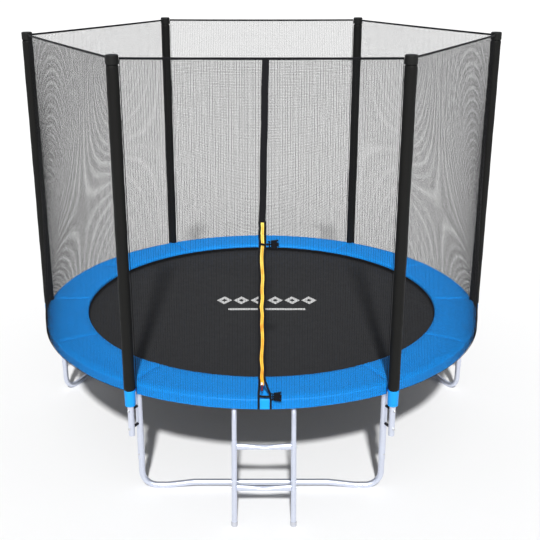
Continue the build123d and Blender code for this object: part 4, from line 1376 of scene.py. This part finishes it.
def studio_world():
    """White to the camera, dim grey as light, a graded sky in reflections."""
    world = bpy.data.worlds.new("studio")
    bpy.context.scene.world = world
    world.use_nodes = True
    nodes, links = world.node_tree.nodes, world.node_tree.links
    background = nodes["Background"].inputs
    background["Strength"].default_value = 1.0
    background["Color"].default_value = (1, 1, 1, 1)
    rays = nodes.new("ShaderNodeLightPath")
    coords = nodes.new("ShaderNodeTexCoord")
    position = nodes.new("ShaderNodeSeparateXYZ")
    links.new(coords.outputs["Generated"], position.inputs[0])
    sky = nodes.new("ShaderNodeValToRGB")
    links.new(position.outputs["Z"], sky.inputs["Fac"])
    stops = sky.color_ramp.elements
    stops[0].position, stops[0].color = 0.0, (0.20, 0.22, 0.26, 1)
    stops[1].position, stops[1].color = 0.92, (0.70, 0.72, 0.75, 1)
    for place_on_ramp, color in ((0.22, (0.14, 0.17, 0.22, 1)), (0.40, (0.55, 0.60, 0.68, 1)),
                                 (0.62, (0.95, 0.97, 1.0, 1))):
        stops.new(place_on_ramp).color = color
    reflected = nodes.new("ShaderNodeMix")
    reflected.data_type = "RGBA"
    links.new(rays.outputs["Is Glossy Ray"], reflected.inputs[0])
    reflected.inputs[6].default_value = (0.287, 0.287, 0.287, 1)
    links.new(sky.outputs["Color"], reflected.inputs[7])
    seen = nodes.new("ShaderNodeMix")
    seen.data_type = "RGBA"
    links.new(rays.outputs["Is Camera Ray"], seen.inputs[0])
    links.new(reflected.outputs[2], seen.inputs[6])
    seen.inputs[7].default_value = (1.02, 1.02, 1.02, 1)
    links.new(seen.outputs[2], background["Color"])


def key_light():
    """Sun from the front and above."""
    sun = bpy.data.lights.new("key", "SUN")
    sun.energy = 3.98
    sun.angle = math.radians(3.5)
    obj = bpy.data.objects.new("key", sun)
    obj.rotation_euler = (math.radians(48), 0, 0)
    bpy.context.scene.collection.objects.link(obj)


def front_camera():
    """Camera in front of the door, looking down a little; its place is in metres."""
    down_tilt = 19.009
    camera = bpy.data.cameras.new("camera")
    camera.sensor_width = 36.0
    camera.lens = 58.946667
    camera.shift_x = 0.01555556
    camera.shift_y = -0.02685185
    camera.clip_end = 200
    obj = bpy.data.objects.new("camera", camera)
    obj.location = (0.0, -6.138, 3.222)
    obj.rotation_euler = (math.radians(90 - down_tilt), 0, 0)
    bpy.context.scene.collection.objects.link(obj)
    bpy.context.scene.camera = obj
    view = bpy.context.scene.view_settings
    view.view_transform = "Standard"
    view.look = "None"
    view.exposure = 0.0


# ----------------------------------------------------------------------- build
dress_cad()
jumping_mat()
mat_hem()
wire_rings()
ring_tabs()
springs()
pad_grid = pad_cover()
pad_inner_shade_binding()
pad_stitching(pad_grid)
pad_ties()
closed_net_sides()
net_door()
net_top_band()
door_bindings()
centre_strip()
zip_parts()
plug_straps()
anchor_straps()
pole_sleeves()
pole_cuffs()
ladder_tread("lower", 226.0)
ladder_tread("upper", 470.0)
finish_meshes()
studio_floor()
studio_world()
key_light()
front_camera()

bpy.context.view_layer.update()
